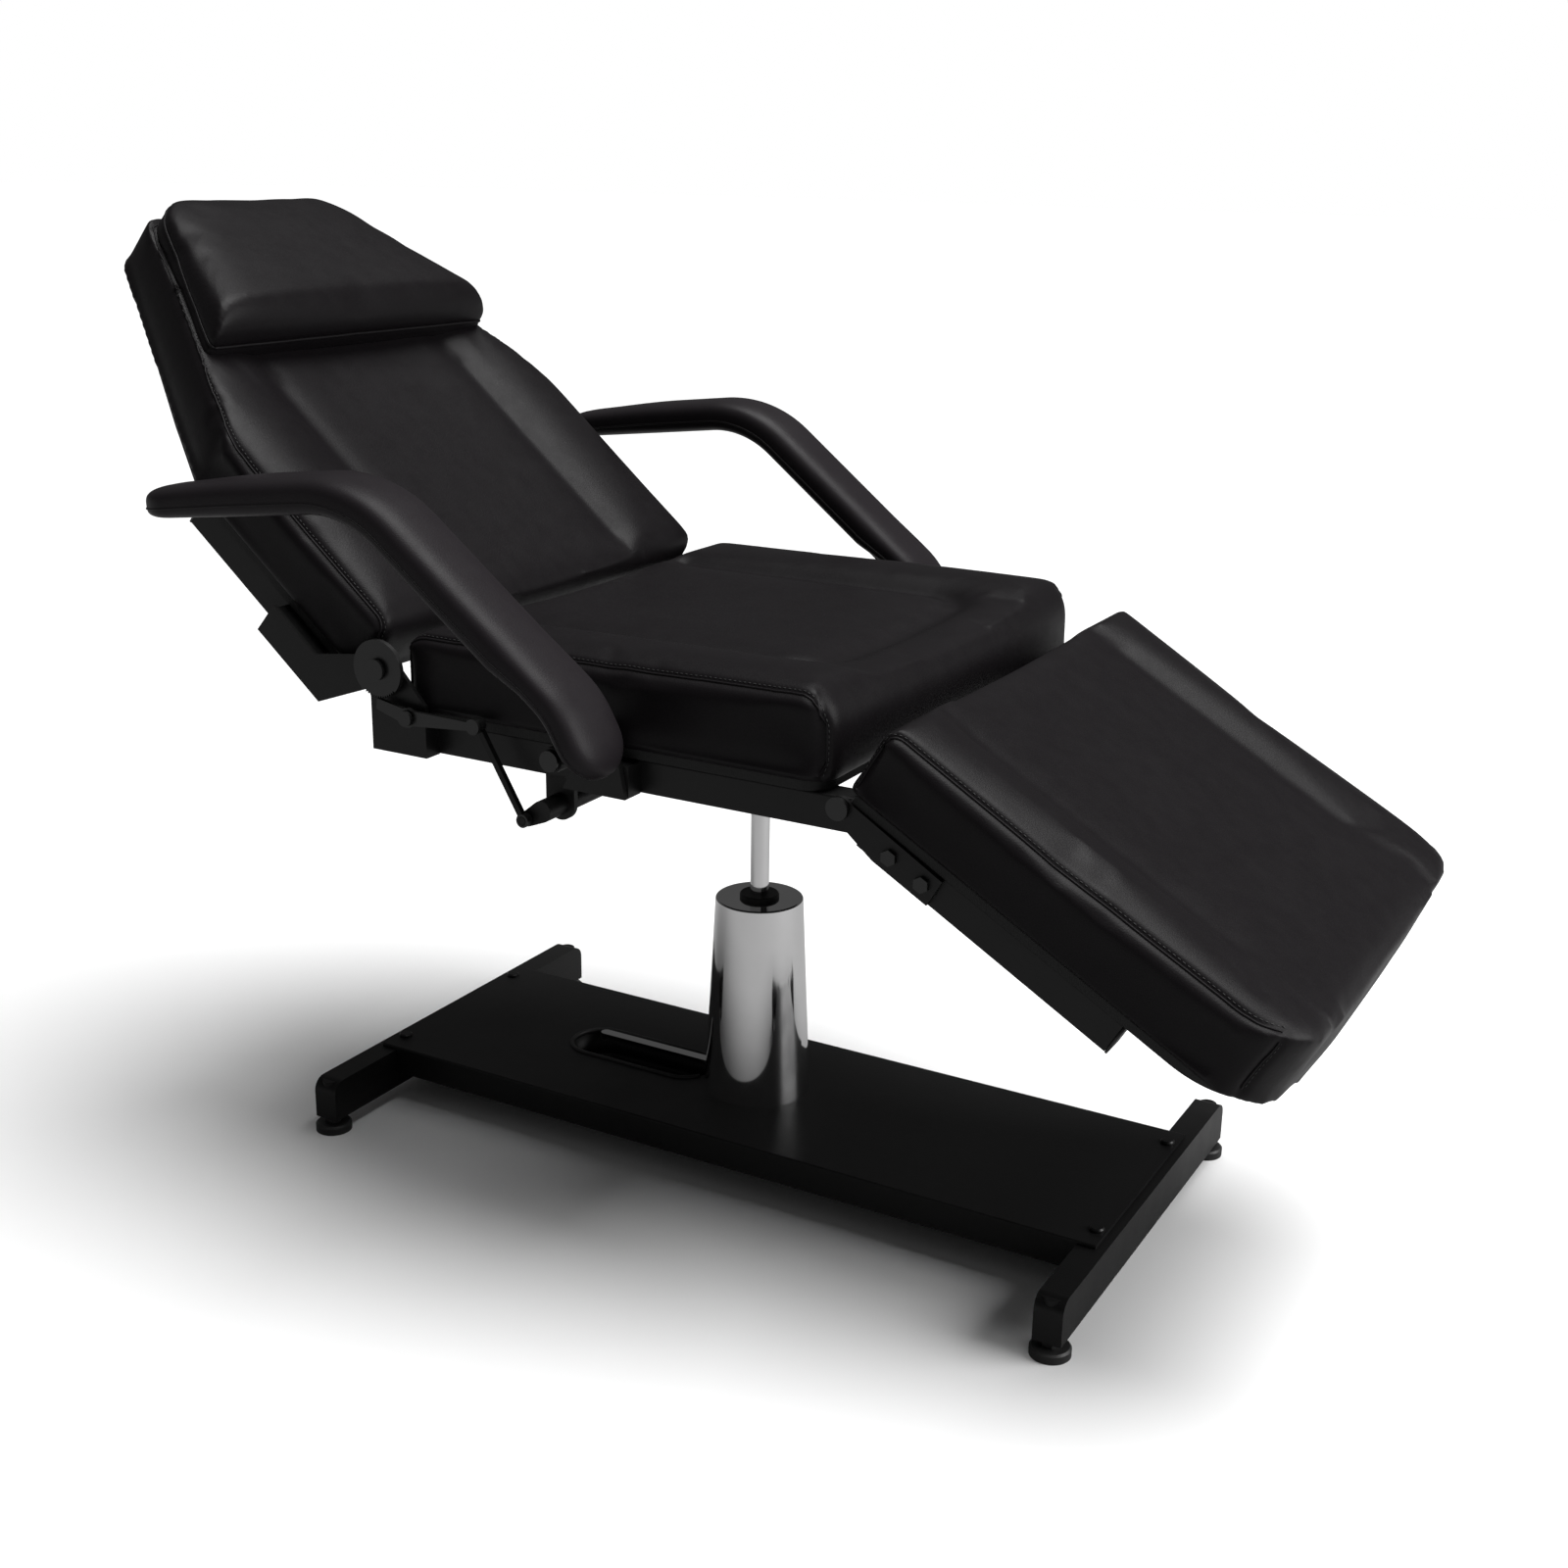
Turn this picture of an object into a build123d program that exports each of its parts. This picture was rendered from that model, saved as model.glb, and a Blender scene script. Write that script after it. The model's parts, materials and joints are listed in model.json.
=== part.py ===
from build123d import *
import os
from math import cos, sin, radians

# Reclining treatment chair on a hydraulic foot pump, in millimetres.
# X runs to the foot end, Y across the chair, Z up from the floor.
# The sitter's right side is at -Y.

# Driving dimensions
pump_reach = 38.5  # pump axis, in front of the middle of the chair's length
cushion_width = 600
seat_rear_reach = 250  # seat cushion, behind the pump axis
seat_front_reach = 240  # seat cushion, before the pump axis
seat_base_height = 546  # underside of the seat cushion
seat_rear_depth = 85
seat_front_depth = 94
back_angle = 40.4  # backrest at rest, above level
back_length = 606
back_depth = 80  # thickness of the backrest cushion
leg_angle = 30.2  # leg rest at rest, below level
leg_length = 480
leg_depth = 85
base_width = 491
rear_leg_reach = 430.5  # middle of the rear cross leg, behind the pump axis
front_leg_reach = 459
running_fit = 0.05  # radial clearance of a turning or sliding fit
soft_gap = 0.3  # between a padded piece and what it lies on
cut_overrun = 2

sides = {"right": -1, "left": 1}
half_cushion = cushion_width / 2
seat_rear_height = seat_base_height + seat_rear_depth
seat_front_height = seat_base_height + seat_front_depth
floor = Plane((pump_reach, 0, 0), x_dir=(1, 0, 0), z_dir=(0, 0, 1))

os.makedirs("parts", exist_ok=True)


def side_plane(frame, across=0):
    """Plane on which x runs along the frame and y runs up from it."""
    normal = frame.y_dir * -1
    return Plane(frame.origin + Vector(0, across, 0), x_dir=frame.x_dir, z_dir=normal)


def cross_plane(frame, along=0):
    """Plane on which x runs across the chair and y runs up from the frame."""
    return Plane(frame.origin + frame.x_dir * along, x_dir=frame.y_dir, z_dir=frame.x_dir)


def turned_frame(pivot, along, up, x_dir, z_dir):
    """Frame in which the pivot lies at (along, up)."""
    origin = pivot - x_dir * along - z_dir * up
    return Plane(origin, x_dir=x_dir, z_dir=z_dir)


def save(piece, name):
    piece.part.label = name
    export_step(piece.part, f"parts/{name}.step")


def square_tube(frame, start, end, across, up, width, height, wall):
    """Rectangular tube that runs along the frame."""
    with BuildSketch(cross_plane(frame, start)) as section:
        with Locations((across * frame.y_dir.Y, up)):
            RectangleRounded(width, height, wall)
            Rectangle(width - 2 * wall, height - 2 * wall, mode=Mode.SUBTRACT)
    return extrude(to_extrude=section.sketch, amount=end - start, dir=frame.x_dir)


def padded_section(frame, along, half, low, crown, bolster, dip, drawn, edge):
    """Cross section of a cushion with a raised border on each side of a shallow hollow."""
    shoulder = crown - edge
    crease = half - bolster
    with BuildSketch(cross_plane(frame, along)) as section:
        with BuildLine():
            ThreePointArc((-crease, crown - dip), (0, crown - 2 * dip), (crease, crown - dip))
            for hand in (-1, 1):
                ThreePointArc(
                    (hand * crease, crown - dip),
                    (hand * (crease + bolster / 2), crown + dip / 2),
                    (hand * (half - edge), crown),
                )
                RadiusArc((hand * (half - edge), crown), (hand * half, shoulder), hand * edge)
                ThreePointArc(
                    (hand * half, shoulder),
                    (hand * (half - drawn), (shoulder + low) / 2),
                    (hand * half, low + drawn),
                )
                Line((hand * half, low + drawn), (hand * (half - drawn), low))
            Line((drawn - half, low), (half - drawn, low))
        make_face()
    return section.sketch


# Cross legs: pressed channels with closed ends, open underneath
leg_width = 30
leg_height = 47
leg_clearance = 17
leg_wall = 3
cross_leg_round = 15
leg_top = leg_clearance + leg_height
foot_inset = 12
foot_radius = 20.5
foot_height = 10
foot_edge = 2
stem_radius = 5
nut_radius = 10
nut_across = 17
half_base = base_width / 2
foot_reach = half_base - foot_inset

deck_width = 274
deck_thickness = 4
deck_lap = 20  # how far the deck lies on each cross leg
skirt_depth = 33
bolt_radius = 4
bolt_head_radius = 7.5
bolt_head_height = 4
deck_bolt_inset = 30
deck_bolt_spacing = deck_width - 2 * deck_bolt_inset
deck_rear = leg_width / 2 - rear_leg_reach
deck_front = front_leg_reach - leg_width / 2
deck_top = leg_top + deck_thickness
deck_middle = (deck_rear + deck_front) / 2
leg_places = {"rear": -rear_leg_reach, "front": front_leg_reach}
bolt_lines = [deck_rear - deck_lap / 2, deck_front + deck_lap / 2]

for name, reach in leg_places.items():
    bolt_line = min(bolt_lines, key=lambda place: abs(place - reach))
    with BuildPart() as cross_leg:
        with BuildSketch(cross_plane(floor, reach)):
            with Locations((0, leg_clearance + leg_height / 2)):
                Rectangle(base_width, leg_height)
            fillet(vertices().group_by(Axis.Y)[-1], cross_leg_round)
        extrude(amount=leg_width / 2, both=True)
        offset(amount=-leg_wall, openings=cross_leg.faces().sort_by(Axis.Z)[0])
        with BuildSketch(floor.offset(leg_clearance)):
            with Locations((reach, -foot_reach), (reach, foot_reach)):
                Circle(nut_radius)
        extrude(amount=leg_height - leg_wall / 2)
        with BuildSketch(floor.offset(leg_clearance)):
            with Locations((reach, -foot_reach), (reach, foot_reach)):
                Circle(stem_radius + running_fit)
        extrude(amount=leg_height - leg_wall, mode=Mode.SUBTRACT)
        with BuildSketch(floor.offset(leg_top)):
            with Locations((bolt_line, -deck_bolt_spacing / 2), (bolt_line, deck_bolt_spacing / 2)):
                Circle(bolt_radius + running_fit)
        extrude(amount=-leg_wall - cut_overrun, mode=Mode.SUBTRACT)
    save(cross_leg, f"cross_leg_{name}")

    for side_name, side in sides.items():
        with BuildPart() as foot:
            with BuildSketch(floor):
                with Locations((reach, side * foot_reach)):
                    Circle(foot_radius)
            extrude(amount=foot_height)
            chamfer(foot.edges().group_by(Axis.Z)[-1], foot_edge)
            with BuildSketch(floor.offset(foot_height)):
                with Locations((reach, side * foot_reach)):
                    RegularPolygon(nut_across / 2, 6, major_radius=False)
            extrude(amount=(leg_clearance - foot_height) - running_fit)
            with BuildSketch(floor.offset(foot_height)):
                with Locations((reach, side * foot_reach)):
                    Circle(stem_radius)
            extrude(amount=leg_height / 2)
        save(foot, f"levelling_foot_{name}_{side_name}")

# Hydraulic pump: values that the deck's holes follow
cover_base_radius = 60
cover_top_radius = 49
cover_height = 230
cover_wall = 2.5
cover_edge = 2
flange_radius = 50
flange_height = 18
flange_bolt_reach = 41
flange_bolt_radius = 3
lever_width = 12
lever_height = 9
lever_rise = 6.5  # underside of the foot lever above the deck
lever_pivot_reach = 43
lever_pin_radius = 3
lever_slot_width = 16
lever_slot_end = 33

# Deck: folded plate with an oblong opening for the foot lever
opening_far_reach = 250
opening_near_reach = 62
opening_width = 70
opening_length = opening_far_reach - opening_near_reach
opening_middle = -(opening_far_reach + opening_near_reach) / 2

with BuildPart() as deck:
    with BuildSketch(floor.offset(leg_top)):
        with Locations((deck_middle, 0)):
            Rectangle(deck_front - deck_rear + 2 * deck_lap, deck_width)
    extrude(amount=deck_thickness)
    with BuildSketch(floor.offset(leg_top)):
        for hand in (-1, 1):
            with Locations((deck_middle, hand * (deck_width - deck_thickness) / 2)):
                Rectangle(deck_front - deck_rear, deck_thickness)
    extrude(amount=deck_thickness - skirt_depth)
    fillet(deck.edges().filter_by(Axis.X).group_by(Axis.Z)[-1], deck_thickness / 2)
    with BuildSketch(floor.offset(leg_top)):
        with Locations((opening_middle, 0)):
            SlotOverall(opening_length, opening_width)
        with PolarLocations(flange_bolt_reach, 4, start_angle=45):
            Circle(flange_bolt_radius + running_fit)
        for line in bolt_lines:
            with Locations((line, -deck_bolt_spacing / 2), (line, deck_bolt_spacing / 2)):
                Circle(bolt_radius + running_fit)
    extrude(amount=deck_thickness, mode=Mode.SUBTRACT)
save(deck, "deck_plate")

with BuildPart() as deck_bolts:
    for line in bolt_lines:
        for hand in (-1, 1):
            with BuildSketch(floor.offset(deck_top)):
                with Locations((line, hand * deck_bolt_spacing / 2)):
                    Circle(bolt_head_radius)
            extrude(amount=bolt_head_height)
            with BuildSketch(floor.offset(deck_top)):
                with Locations((line, hand * deck_bolt_spacing / 2)):
                    Circle(bolt_radius)
            extrude(amount=-deck_thickness - 2 * leg_wall)
    chamfer(deck_bolts.edges().group_by(Axis.Z)[-1], bolt_head_height / 3)
save(deck_bolts, "deck_bolts")

# Pump flange: casting with a slot for the lever and a cross bore for its pin
flange_top = deck_top + flange_height
lever_axis_height = deck_top + lever_rise + lever_height / 2
flange_bolt_head = 5.5
flange_bolt_sink = 6

with BuildPart() as flange:
    with BuildSketch(floor.offset(deck_top)):
        Circle(flange_radius)
        with Locations((-(flange_radius + lever_slot_end) / 2 - cut_overrun, 0)):
            Rectangle(
                flange_radius - lever_slot_end + 2 * cut_overrun,
                lever_slot_width,
                mode=Mode.SUBTRACT,
            )
        with PolarLocations(flange_bolt_reach, 4, start_angle=45):
            Circle(flange_bolt_radius + running_fit, mode=Mode.SUBTRACT)
    extrude(amount=flange_height)
    with BuildSketch(floor.offset(flange_top)):
        with PolarLocations(flange_bolt_reach, 4, start_angle=45):
            Circle(flange_bolt_head + running_fit)
    extrude(amount=-flange_bolt_sink, mode=Mode.SUBTRACT)
    with BuildSketch(side_plane(floor)):
        with Locations((-lever_pivot_reach, lever_axis_height)):
            Circle(lever_pin_radius + running_fit)
    extrude(amount=flange_radius, both=True, mode=Mode.SUBTRACT)
save(flange, "pump_flange")

with BuildPart() as flange_bolts:
    with BuildSketch(floor.offset(flange_top - flange_bolt_sink)):
        with PolarLocations(flange_bolt_reach, 4, start_angle=45):
            Circle(flange_bolt_head)
    extrude(amount=flange_bolt_sink)
    with BuildSketch(floor.offset(flange_top - flange_bolt_sink)):
        with PolarLocations(flange_bolt_reach, 4, start_angle=45):
            Circle(flange_bolt_radius)
    extrude(amount=flange_bolt_sink - flange_height - 2 * deck_thickness)
save(flange_bolts, "flange_bolts")

lever_pin_length = 44
with BuildPart() as lever_pin:
    with BuildSketch(side_plane(floor)):
        with Locations((-lever_pivot_reach, lever_axis_height)):
            Circle(lever_pin_radius)
    extrude(amount=lever_pin_length / 2, both=True)
save(lever_pin, "foot_lever_pin")

# Foot lever: flat bar that lies along the opening and presses down through it
lever_length = 171  # from its pin to its tip
lever_eye = 8.5
with BuildPart() as foot_lever:
    with BuildSketch(side_plane(floor)):
        with Locations((-lever_pivot_reach - lever_length / 2, lever_axis_height)):
            Rectangle(lever_length, lever_height)
        with Locations((-lever_pivot_reach, lever_axis_height)):
            Circle(lever_eye)
            Circle(lever_pin_radius + running_fit, mode=Mode.SUBTRACT)
    extrude(amount=lever_width / 2, both=True)
    tip = foot_lever.faces().sort_by(Axis.X)[0]
    fillet(tip.edges().filter_by(Axis.Z), lever_width / 2 - running_fit)
save(foot_lever, "foot_lever")

# Pump cylinder, gland and cover
ram_radius = 10.5
piston_radius = 16
piston_height = 14
cylinder_radius = 26
cylinder_floor = 10
gland_height = 26
gland_neck_radius = 22
gland_neck_rise = 5
cover_mouth_radius = gland_neck_radius + running_fit
cover_top = deck_top + cover_height
cylinder_height = cover_top - cover_wall - flange_top - gland_height

with BuildPart() as cylinder:
    with BuildSketch(floor.offset(flange_top)):
        Circle(cylinder_radius)
    extrude(amount=cylinder_height)
    with BuildSketch(floor.offset(flange_top + cylinder_floor)):
        Circle(piston_radius + running_fit)
    extrude(amount=cylinder_height, mode=Mode.SUBTRACT)
save(cylinder, "pump_cylinder")

with BuildPart() as gland:
    with BuildSketch(floor.offset(flange_top + cylinder_height)):
        Circle(cylinder_radius)
    extrude(amount=gland_height)
    with BuildSketch(floor.offset(cover_top - cover_wall)):
        Circle(gland_neck_radius)
    extrude(amount=cover_wall + gland_neck_rise)
    chamfer(gland.edges().group_by(Axis.Z)[-1], gland_neck_rise / 4)
    with BuildSketch(floor.offset(flange_top + cylinder_height)):
        Circle(ram_radius + running_fit)
    extrude(amount=gland_height + cover_wall + gland_neck_rise, mode=Mode.SUBTRACT)
save(gland, "ram_gland")

notch_width = 20
notch_height = 22
with BuildPart() as cover:
    with BuildSketch(side_plane(floor)):
        with BuildLine():
            Polyline(
                (cover_base_radius, deck_top),
                (cover_top_radius, cover_top),
                (cover_mouth_radius, cover_top),
                (cover_mouth_radius, cover_top - cover_wall),
                (cover_top_radius - cover_wall, cover_top - cover_wall),
                (cover_base_radius - cover_wall, deck_top),
                close=True,
            )
        make_face()
        fillet(vertices().sort_by(Axis.Y)[-2:].sort_by(Axis.X)[-1], cover_edge)
    revolve(axis=Axis((pump_reach, 0, 0), (0, 0, 1)))
    with BuildSketch(cross_plane(floor)):
        with Locations((0, deck_top + notch_height / 2)):
            Rectangle(notch_width, notch_height)
    extrude(amount=-cover_base_radius - cut_overrun, mode=Mode.SUBTRACT)
save(cover, "pump_cover")

# Seat frame: rails, cross tubes, mounting plate and swivel hub
rail_width = 30
rail_height = 34
rail_wall = 2.5
board_thickness = 10
board_inset = 12
frame_top = seat_base_height - board_thickness
rail_inset = 15  # rail's outer face, inside the edge of the cushions
rail_rear_overhang = 20
rail_front_overhang = 16
rail_reach = half_cushion - rail_inset - rail_width / 2
seat_rail_rear = -seat_rear_reach - rail_rear_overhang
seat_rail_front = seat_front_reach + rail_front_overhang
tube_size = 30
plate_thickness = 8
plate_length = 210
plate_width = 150
hub_radius = 19
hub_length = 92
rib_reach = 24
rib_thickness = 6
tube_reach = 80
tube_places = {"rear": -tube_reach, "front": tube_reach}
rail_axis = frame_top - rail_height / 2
tube_axis = frame_top - 2 * rail_wall - tube_size / 2 + rail_wall
plate_top = tube_axis - tube_size / 2
inner_face = rail_reach - rail_width / 2
outer_face = rail_reach + rail_width / 2

# Leg rest pivot, in the seat's frame and in the leg rest's own
leg_pivot_gap = 6.5  # pivot in front of the seat cushion
leg_pivot_drop = 8.9
leg_pivot_along = 14
leg_pivot_depth = 11  # pivot below the leg rest's board
leg_pivot_reach = seat_front_reach + leg_pivot_gap
leg_pivot_height = frame_top - leg_pivot_drop
leg_pivot_below = leg_depth + board_thickness + leg_pivot_depth
hinge_pin_radius = 6

for side_name, side in sides.items():
    rail_tube = square_tube(
        floor,
        seat_rail_rear,
        seat_rail_front,
        side * rail_reach,
        rail_axis,
        rail_width,
        rail_height,
        rail_wall,
    )
    with BuildPart() as rail:
        add(rail_tube)
        with BuildSketch(side_plane(floor, side * rail_reach)):
            with Locations((leg_pivot_reach, leg_pivot_height)):
                Circle(hinge_pin_radius + running_fit)
        extrude(amount=rail_width, both=True, mode=Mode.SUBTRACT)
    save(rail, f"seat_rail_{side_name}")

for name, place in tube_places.items():
    with BuildPart() as tube:
        with BuildSketch(side_plane(floor)):
            with Locations((place, tube_axis)):
                Rectangle(tube_size, tube_size)
                Rectangle(tube_size - 2 * rail_wall, tube_size - 2 * rail_wall, mode=Mode.SUBTRACT)
        extrude(amount=inner_face, both=True)
    save(tube, f"seat_cross_tube_{name}")

plate_bolt_spacing = 100
with BuildPart() as mounting_plate:
    with BuildSketch(floor.offset(plate_top - plate_thickness)):
        RectangleRounded(plate_length, plate_width, rail_wall * 4)
        with GridLocations(tube_places["front"] - tube_places["rear"], plate_bolt_spacing, 2, 2):
            Circle(bolt_radius + running_fit, mode=Mode.SUBTRACT)
    extrude(amount=plate_thickness)
save(mounting_plate, "mounting_plate")

with BuildPart() as plate_bolts:
    with BuildSketch(floor.offset(plate_top - plate_thickness)):
        with GridLocations(tube_places["front"] - tube_places["rear"], plate_bolt_spacing, 2, 2):
            RegularPolygon(bolt_head_radius, 6)
    extrude(amount=-bolt_head_height)
    with BuildSketch(floor.offset(plate_top - plate_thickness)):
        with GridLocations(tube_places["front"] - tube_places["rear"], plate_bolt_spacing, 2, 2):
            Circle(bolt_radius)
    extrude(amount=plate_thickness)
save(plate_bolts, "mounting_plate_bolts")

hub_top = plate_top - plate_thickness
screw_radius = 4
screw_knob_radius = 8
screw_rise = 14  # set screw above the hub's lower end
with BuildPart() as hub:
    with BuildSketch(floor.offset(hub_top - hub_length)):
        Circle(hub_radius)
    extrude(amount=hub_length)
    with BuildSketch(side_plane(floor)):
        with BuildLine():
            Polyline(
                (0, hub_top),
                (hub_radius + rib_reach, hub_top),
                (0, hub_top - hub_radius - rib_reach),
                close=True,
            )
        make_face()
        mirror(about=Plane.YZ)
    extrude(amount=rib_thickness / 2, both=True)
    with BuildSketch(cross_plane(floor)):
        with BuildLine():
            Polyline(
                (0, hub_top),
                (hub_radius + rib_reach, hub_top),
                (0, hub_top - hub_radius - rib_reach),
                close=True,
            )
        make_face()
        mirror(about=Plane.YZ)
    extrude(amount=rib_thickness / 2, both=True)
    with BuildSketch(floor.offset(hub_top - hub_length)):
        Circle(ram_radius + running_fit)
    extrude(amount=hub_length, mode=Mode.SUBTRACT)
    with BuildSketch(cross_plane(floor)):
        with Locations((0, hub_top - hub_length + screw_rise)):
            Circle(screw_radius + running_fit)
    extrude(amount=-hub_radius - cut_overrun, mode=Mode.SUBTRACT)
save(hub, "swivel_hub")

# Ram with its piston
piston_rise = 84  # piston's underside above the pump flange
ram_end_gap = 7.5  # ram's end below the mounting plate
ram_foot_height = flange_top + piston_rise
ram_top_height = hub_top - ram_end_gap
with BuildPart() as ram:
    with BuildSketch(floor.offset(ram_foot_height)):
        Circle(piston_radius)
    extrude(amount=piston_height)
    with BuildSketch(floor.offset(ram_foot_height)):
        Circle(ram_radius)
    extrude(amount=ram_top_height - ram_foot_height)
    chamfer(ram.edges().group_by(Axis.Z)[-1], ram_radius / 10)
save(ram, "pump_ram")

with BuildPart() as set_screw:
    with BuildSketch(cross_plane(floor, -ram_radius - soft_gap)):
        with Locations((0, hub_top - hub_length + screw_rise)):
            Circle(screw_radius)
    extrude(amount=-hub_radius)
    with BuildSketch(cross_plane(floor, -hub_radius - screw_radius)):
        with Locations((0, hub_top - hub_length + screw_rise)):
            Circle(screw_knob_radius)
    extrude(amount=-screw_knob_radius)
    chamfer(set_screw.edges().group_by(Axis.X)[0], screw_radius / 4)
save(set_screw, "swivel_set_screw")

# Seat board and cushion
board_corner = 25
with BuildPart() as seat_board:
    with BuildSketch(floor.offset(frame_top)):
        with Locations(((seat_front_reach - seat_rear_reach) / 2, 0)):
            RectangleRounded(
                seat_rear_reach + seat_front_reach - 2 * board_inset,
                cushion_width - 2 * board_inset,
                board_corner,
            )
    extrude(amount=board_thickness)
save(seat_board, "seat_board")

bolster_width = 120
bolster_dip = 7
side_draw = 5
cushion_edge = 24
seat_roll = 32  # rounding of the seat's rear top edge
front_roll = 45
seat_crown = max(seat_rear_height, seat_front_height)

with BuildPart() as seat_cushion:
    extrude(
        to_extrude=padded_section(
            floor,
            -seat_rear_reach,
            half_cushion,
            seat_base_height,
            seat_crown - bolster_dip / 2,
            bolster_width,
            bolster_dip,
            side_draw,
            cushion_edge,
        ),
        amount=seat_rear_reach + seat_front_reach,
        dir=floor.x_dir,
    )
    with BuildSketch(side_plane(floor).offset(-half_cushion)):
        with BuildLine():
            Polyline(
                (-seat_rear_reach, seat_base_height),
                (-seat_rear_reach, seat_rear_height),
                (seat_front_reach - front_roll, seat_front_height),
                (seat_front_reach, seat_front_height),
                (seat_front_reach, seat_base_height),
                close=True,
            )
        make_face()
        fillet(vertices().sort_by(Axis.X)[-2:].sort_by(Axis.Y)[-1], front_roll)
        fillet(vertices().sort_by(Axis.X)[:2].sort_by(Axis.Y)[-1], seat_roll)
    extrude(amount=cushion_width, mode=Mode.INTERSECT)
save(seat_cushion, "seat_cushion")

# Backrest: pivot in the seat's frame and in the backrest's own
back_pivot_gap = 12  # pivot behind the seat cushion
back_pivot_rise = 44
back_pivot_along = -19.6
back_pivot_below = 33.6
back_pivot_reach = -seat_rear_reach - back_pivot_gap
back_pivot_height = seat_base_height + back_pivot_rise
back_tilt = radians(back_angle)
back_pivot = Vector(pump_reach + back_pivot_reach, 0, back_pivot_height)
back_frame = turned_frame(
    back_pivot,
    back_pivot_along,
    -back_pivot_below,
    Vector(-cos(back_tilt), 0, sin(back_tilt)),
    Vector(sin(back_tilt), 0, cos(back_tilt)),
)
shoulder_start = 262
shoulder_inset = 45
shoulder_reach = 363
head_inset = 160
head_corner = 45
shoulder_round = 60
foot_roll = 30
head_roll = 22
back_bolster = 140
pillow_start = 378  # lower edge of the head pillow, above which the backrest is flat
shoulder_half = half_cushion - shoulder_inset
head_half = half_cushion - head_inset


def back_outline(frame, lift, inset):
    """Outline of the backrest, drawn in by the inset, or let out where it is below zero."""
    wide = half_cushion - inset
    with BuildSketch(frame.offset(lift)) as outline:
        with BuildLine():
            Polyline(
                (inset, wide),
                (shoulder_start, wide),
                (shoulder_reach, shoulder_half - max(inset, 0)),
                (back_length - inset, head_half - max(inset, 0)),
                (back_length - inset, max(inset, 0) - head_half),
                (shoulder_reach, max(inset, 0) - shoulder_half),
                (shoulder_start, -wide),
                (inset, -wide),
                close=True,
            )
        make_face()
        fillet(outline.vertices().sort_by(Axis.X)[-2:], head_corner)
        fillet(outline.vertices().sort_by(Axis.X)[2:4], shoulder_round)
    return outline.sketch


with BuildPart() as back_board:
    extrude(
        to_extrude=back_outline(back_frame, -back_depth - board_thickness, board_inset),
        amount=board_thickness,
        dir=back_frame.z_dir,
    )
save(back_board, "back_board")

with BuildPart() as back_cushion:
    extrude(
        to_extrude=back_outline(back_frame, -back_depth - cut_overrun, -cut_overrun),
        amount=back_depth + 2 * bolster_dip,
        dir=back_frame.z_dir,
    )
    extrude(
        to_extrude=padded_section(
            back_frame,
            0,
            half_cushion,
            -back_depth,
            0,
            back_bolster,
            bolster_dip,
            side_draw,
            cushion_edge,
        ),
        amount=back_length,
        dir=back_frame.x_dir,
        mode=Mode.INTERSECT,
    )
    with BuildSketch(side_plane(back_frame).offset(-half_cushion)):
        with BuildLine():
            Line((0, -back_depth), (0, -foot_roll))
            RadiusArc((0, -foot_roll), (foot_roll, 0), foot_roll)
            ThreePointArc((foot_roll, 0), (pillow_start / 2, bolster_dip), (pillow_start, 0))
            Line((pillow_start, 0), (back_length - head_roll, 0))
            RadiusArc((back_length - head_roll, 0), (back_length, -head_roll), head_roll)
            Line((back_length, -head_roll), (back_length, -back_depth))
            Line((back_length, -back_depth), (0, -back_depth))
        make_face()
    extrude(amount=cushion_width, mode=Mode.INTERSECT)
save(back_cushion, "back_cushion")

# Head pillow: crowned trapezoid pad on the head end of the backrest
pillow_end_gap = 14
pillow_low_inset = 62
pillow_high_inset = 2
pillow_end = back_length - pillow_end_gap
pillow_half_low = half_cushion - pillow_low_inset
pillow_half_high = head_half - pillow_high_inset
pillow_corner = 42
pillow_crown = 42
pillow_side_crown = 50  # height that the rounding across the pillow would reach
pillow_edge = 17
pillow_lift = soft_gap
pillow_shoulder = pillow_lift + pillow_edge
with BuildPart() as pillow:
    with BuildSketch(back_frame.offset(pillow_lift)) as pillow_outline:
        with BuildLine():
            Polyline(
                (pillow_start, pillow_half_low),
                (pillow_end, pillow_half_high),
                (pillow_end, -pillow_half_high),
                (pillow_start, -pillow_half_low),
                close=True,
            )
        make_face()
        fillet(pillow_outline.vertices(), pillow_corner)
    extrude(amount=pillow_side_crown + cut_overrun)
    with BuildSketch(side_plane(back_frame).offset(-half_cushion)):
        with BuildLine():
            ThreePointArc(
                (pillow_start - cut_overrun, pillow_shoulder),
                ((pillow_start + pillow_end) / 2, pillow_lift + pillow_crown),
                (pillow_end + cut_overrun, pillow_shoulder),
            )
            Polyline(
                (pillow_end + cut_overrun, pillow_shoulder),
                (pillow_end + cut_overrun, pillow_lift - cut_overrun),
                (pillow_start - cut_overrun, pillow_lift - cut_overrun),
                (pillow_start - cut_overrun, pillow_shoulder),
            )
        make_face()
    extrude(amount=cushion_width, mode=Mode.INTERSECT)
    with BuildSketch(cross_plane(back_frame, pillow_start - cut_overrun)):
        with BuildLine():
            ThreePointArc(
                (-pillow_half_low - cut_overrun, pillow_shoulder),
                (0, pillow_lift + pillow_side_crown),
                (pillow_half_low + cut_overrun, pillow_shoulder),
            )
            Polyline(
                (pillow_half_low + cut_overrun, pillow_shoulder),
                (pillow_half_low + cut_overrun, pillow_lift - cut_overrun),
                (-pillow_half_low - cut_overrun, pillow_lift - cut_overrun),
                (-pillow_half_low - cut_overrun, pillow_shoulder),
            )
        make_face()
    extrude(amount=pillow_end - pillow_start + 2 * cut_overrun, mode=Mode.INTERSECT)
save(pillow, "head_pillow")

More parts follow.
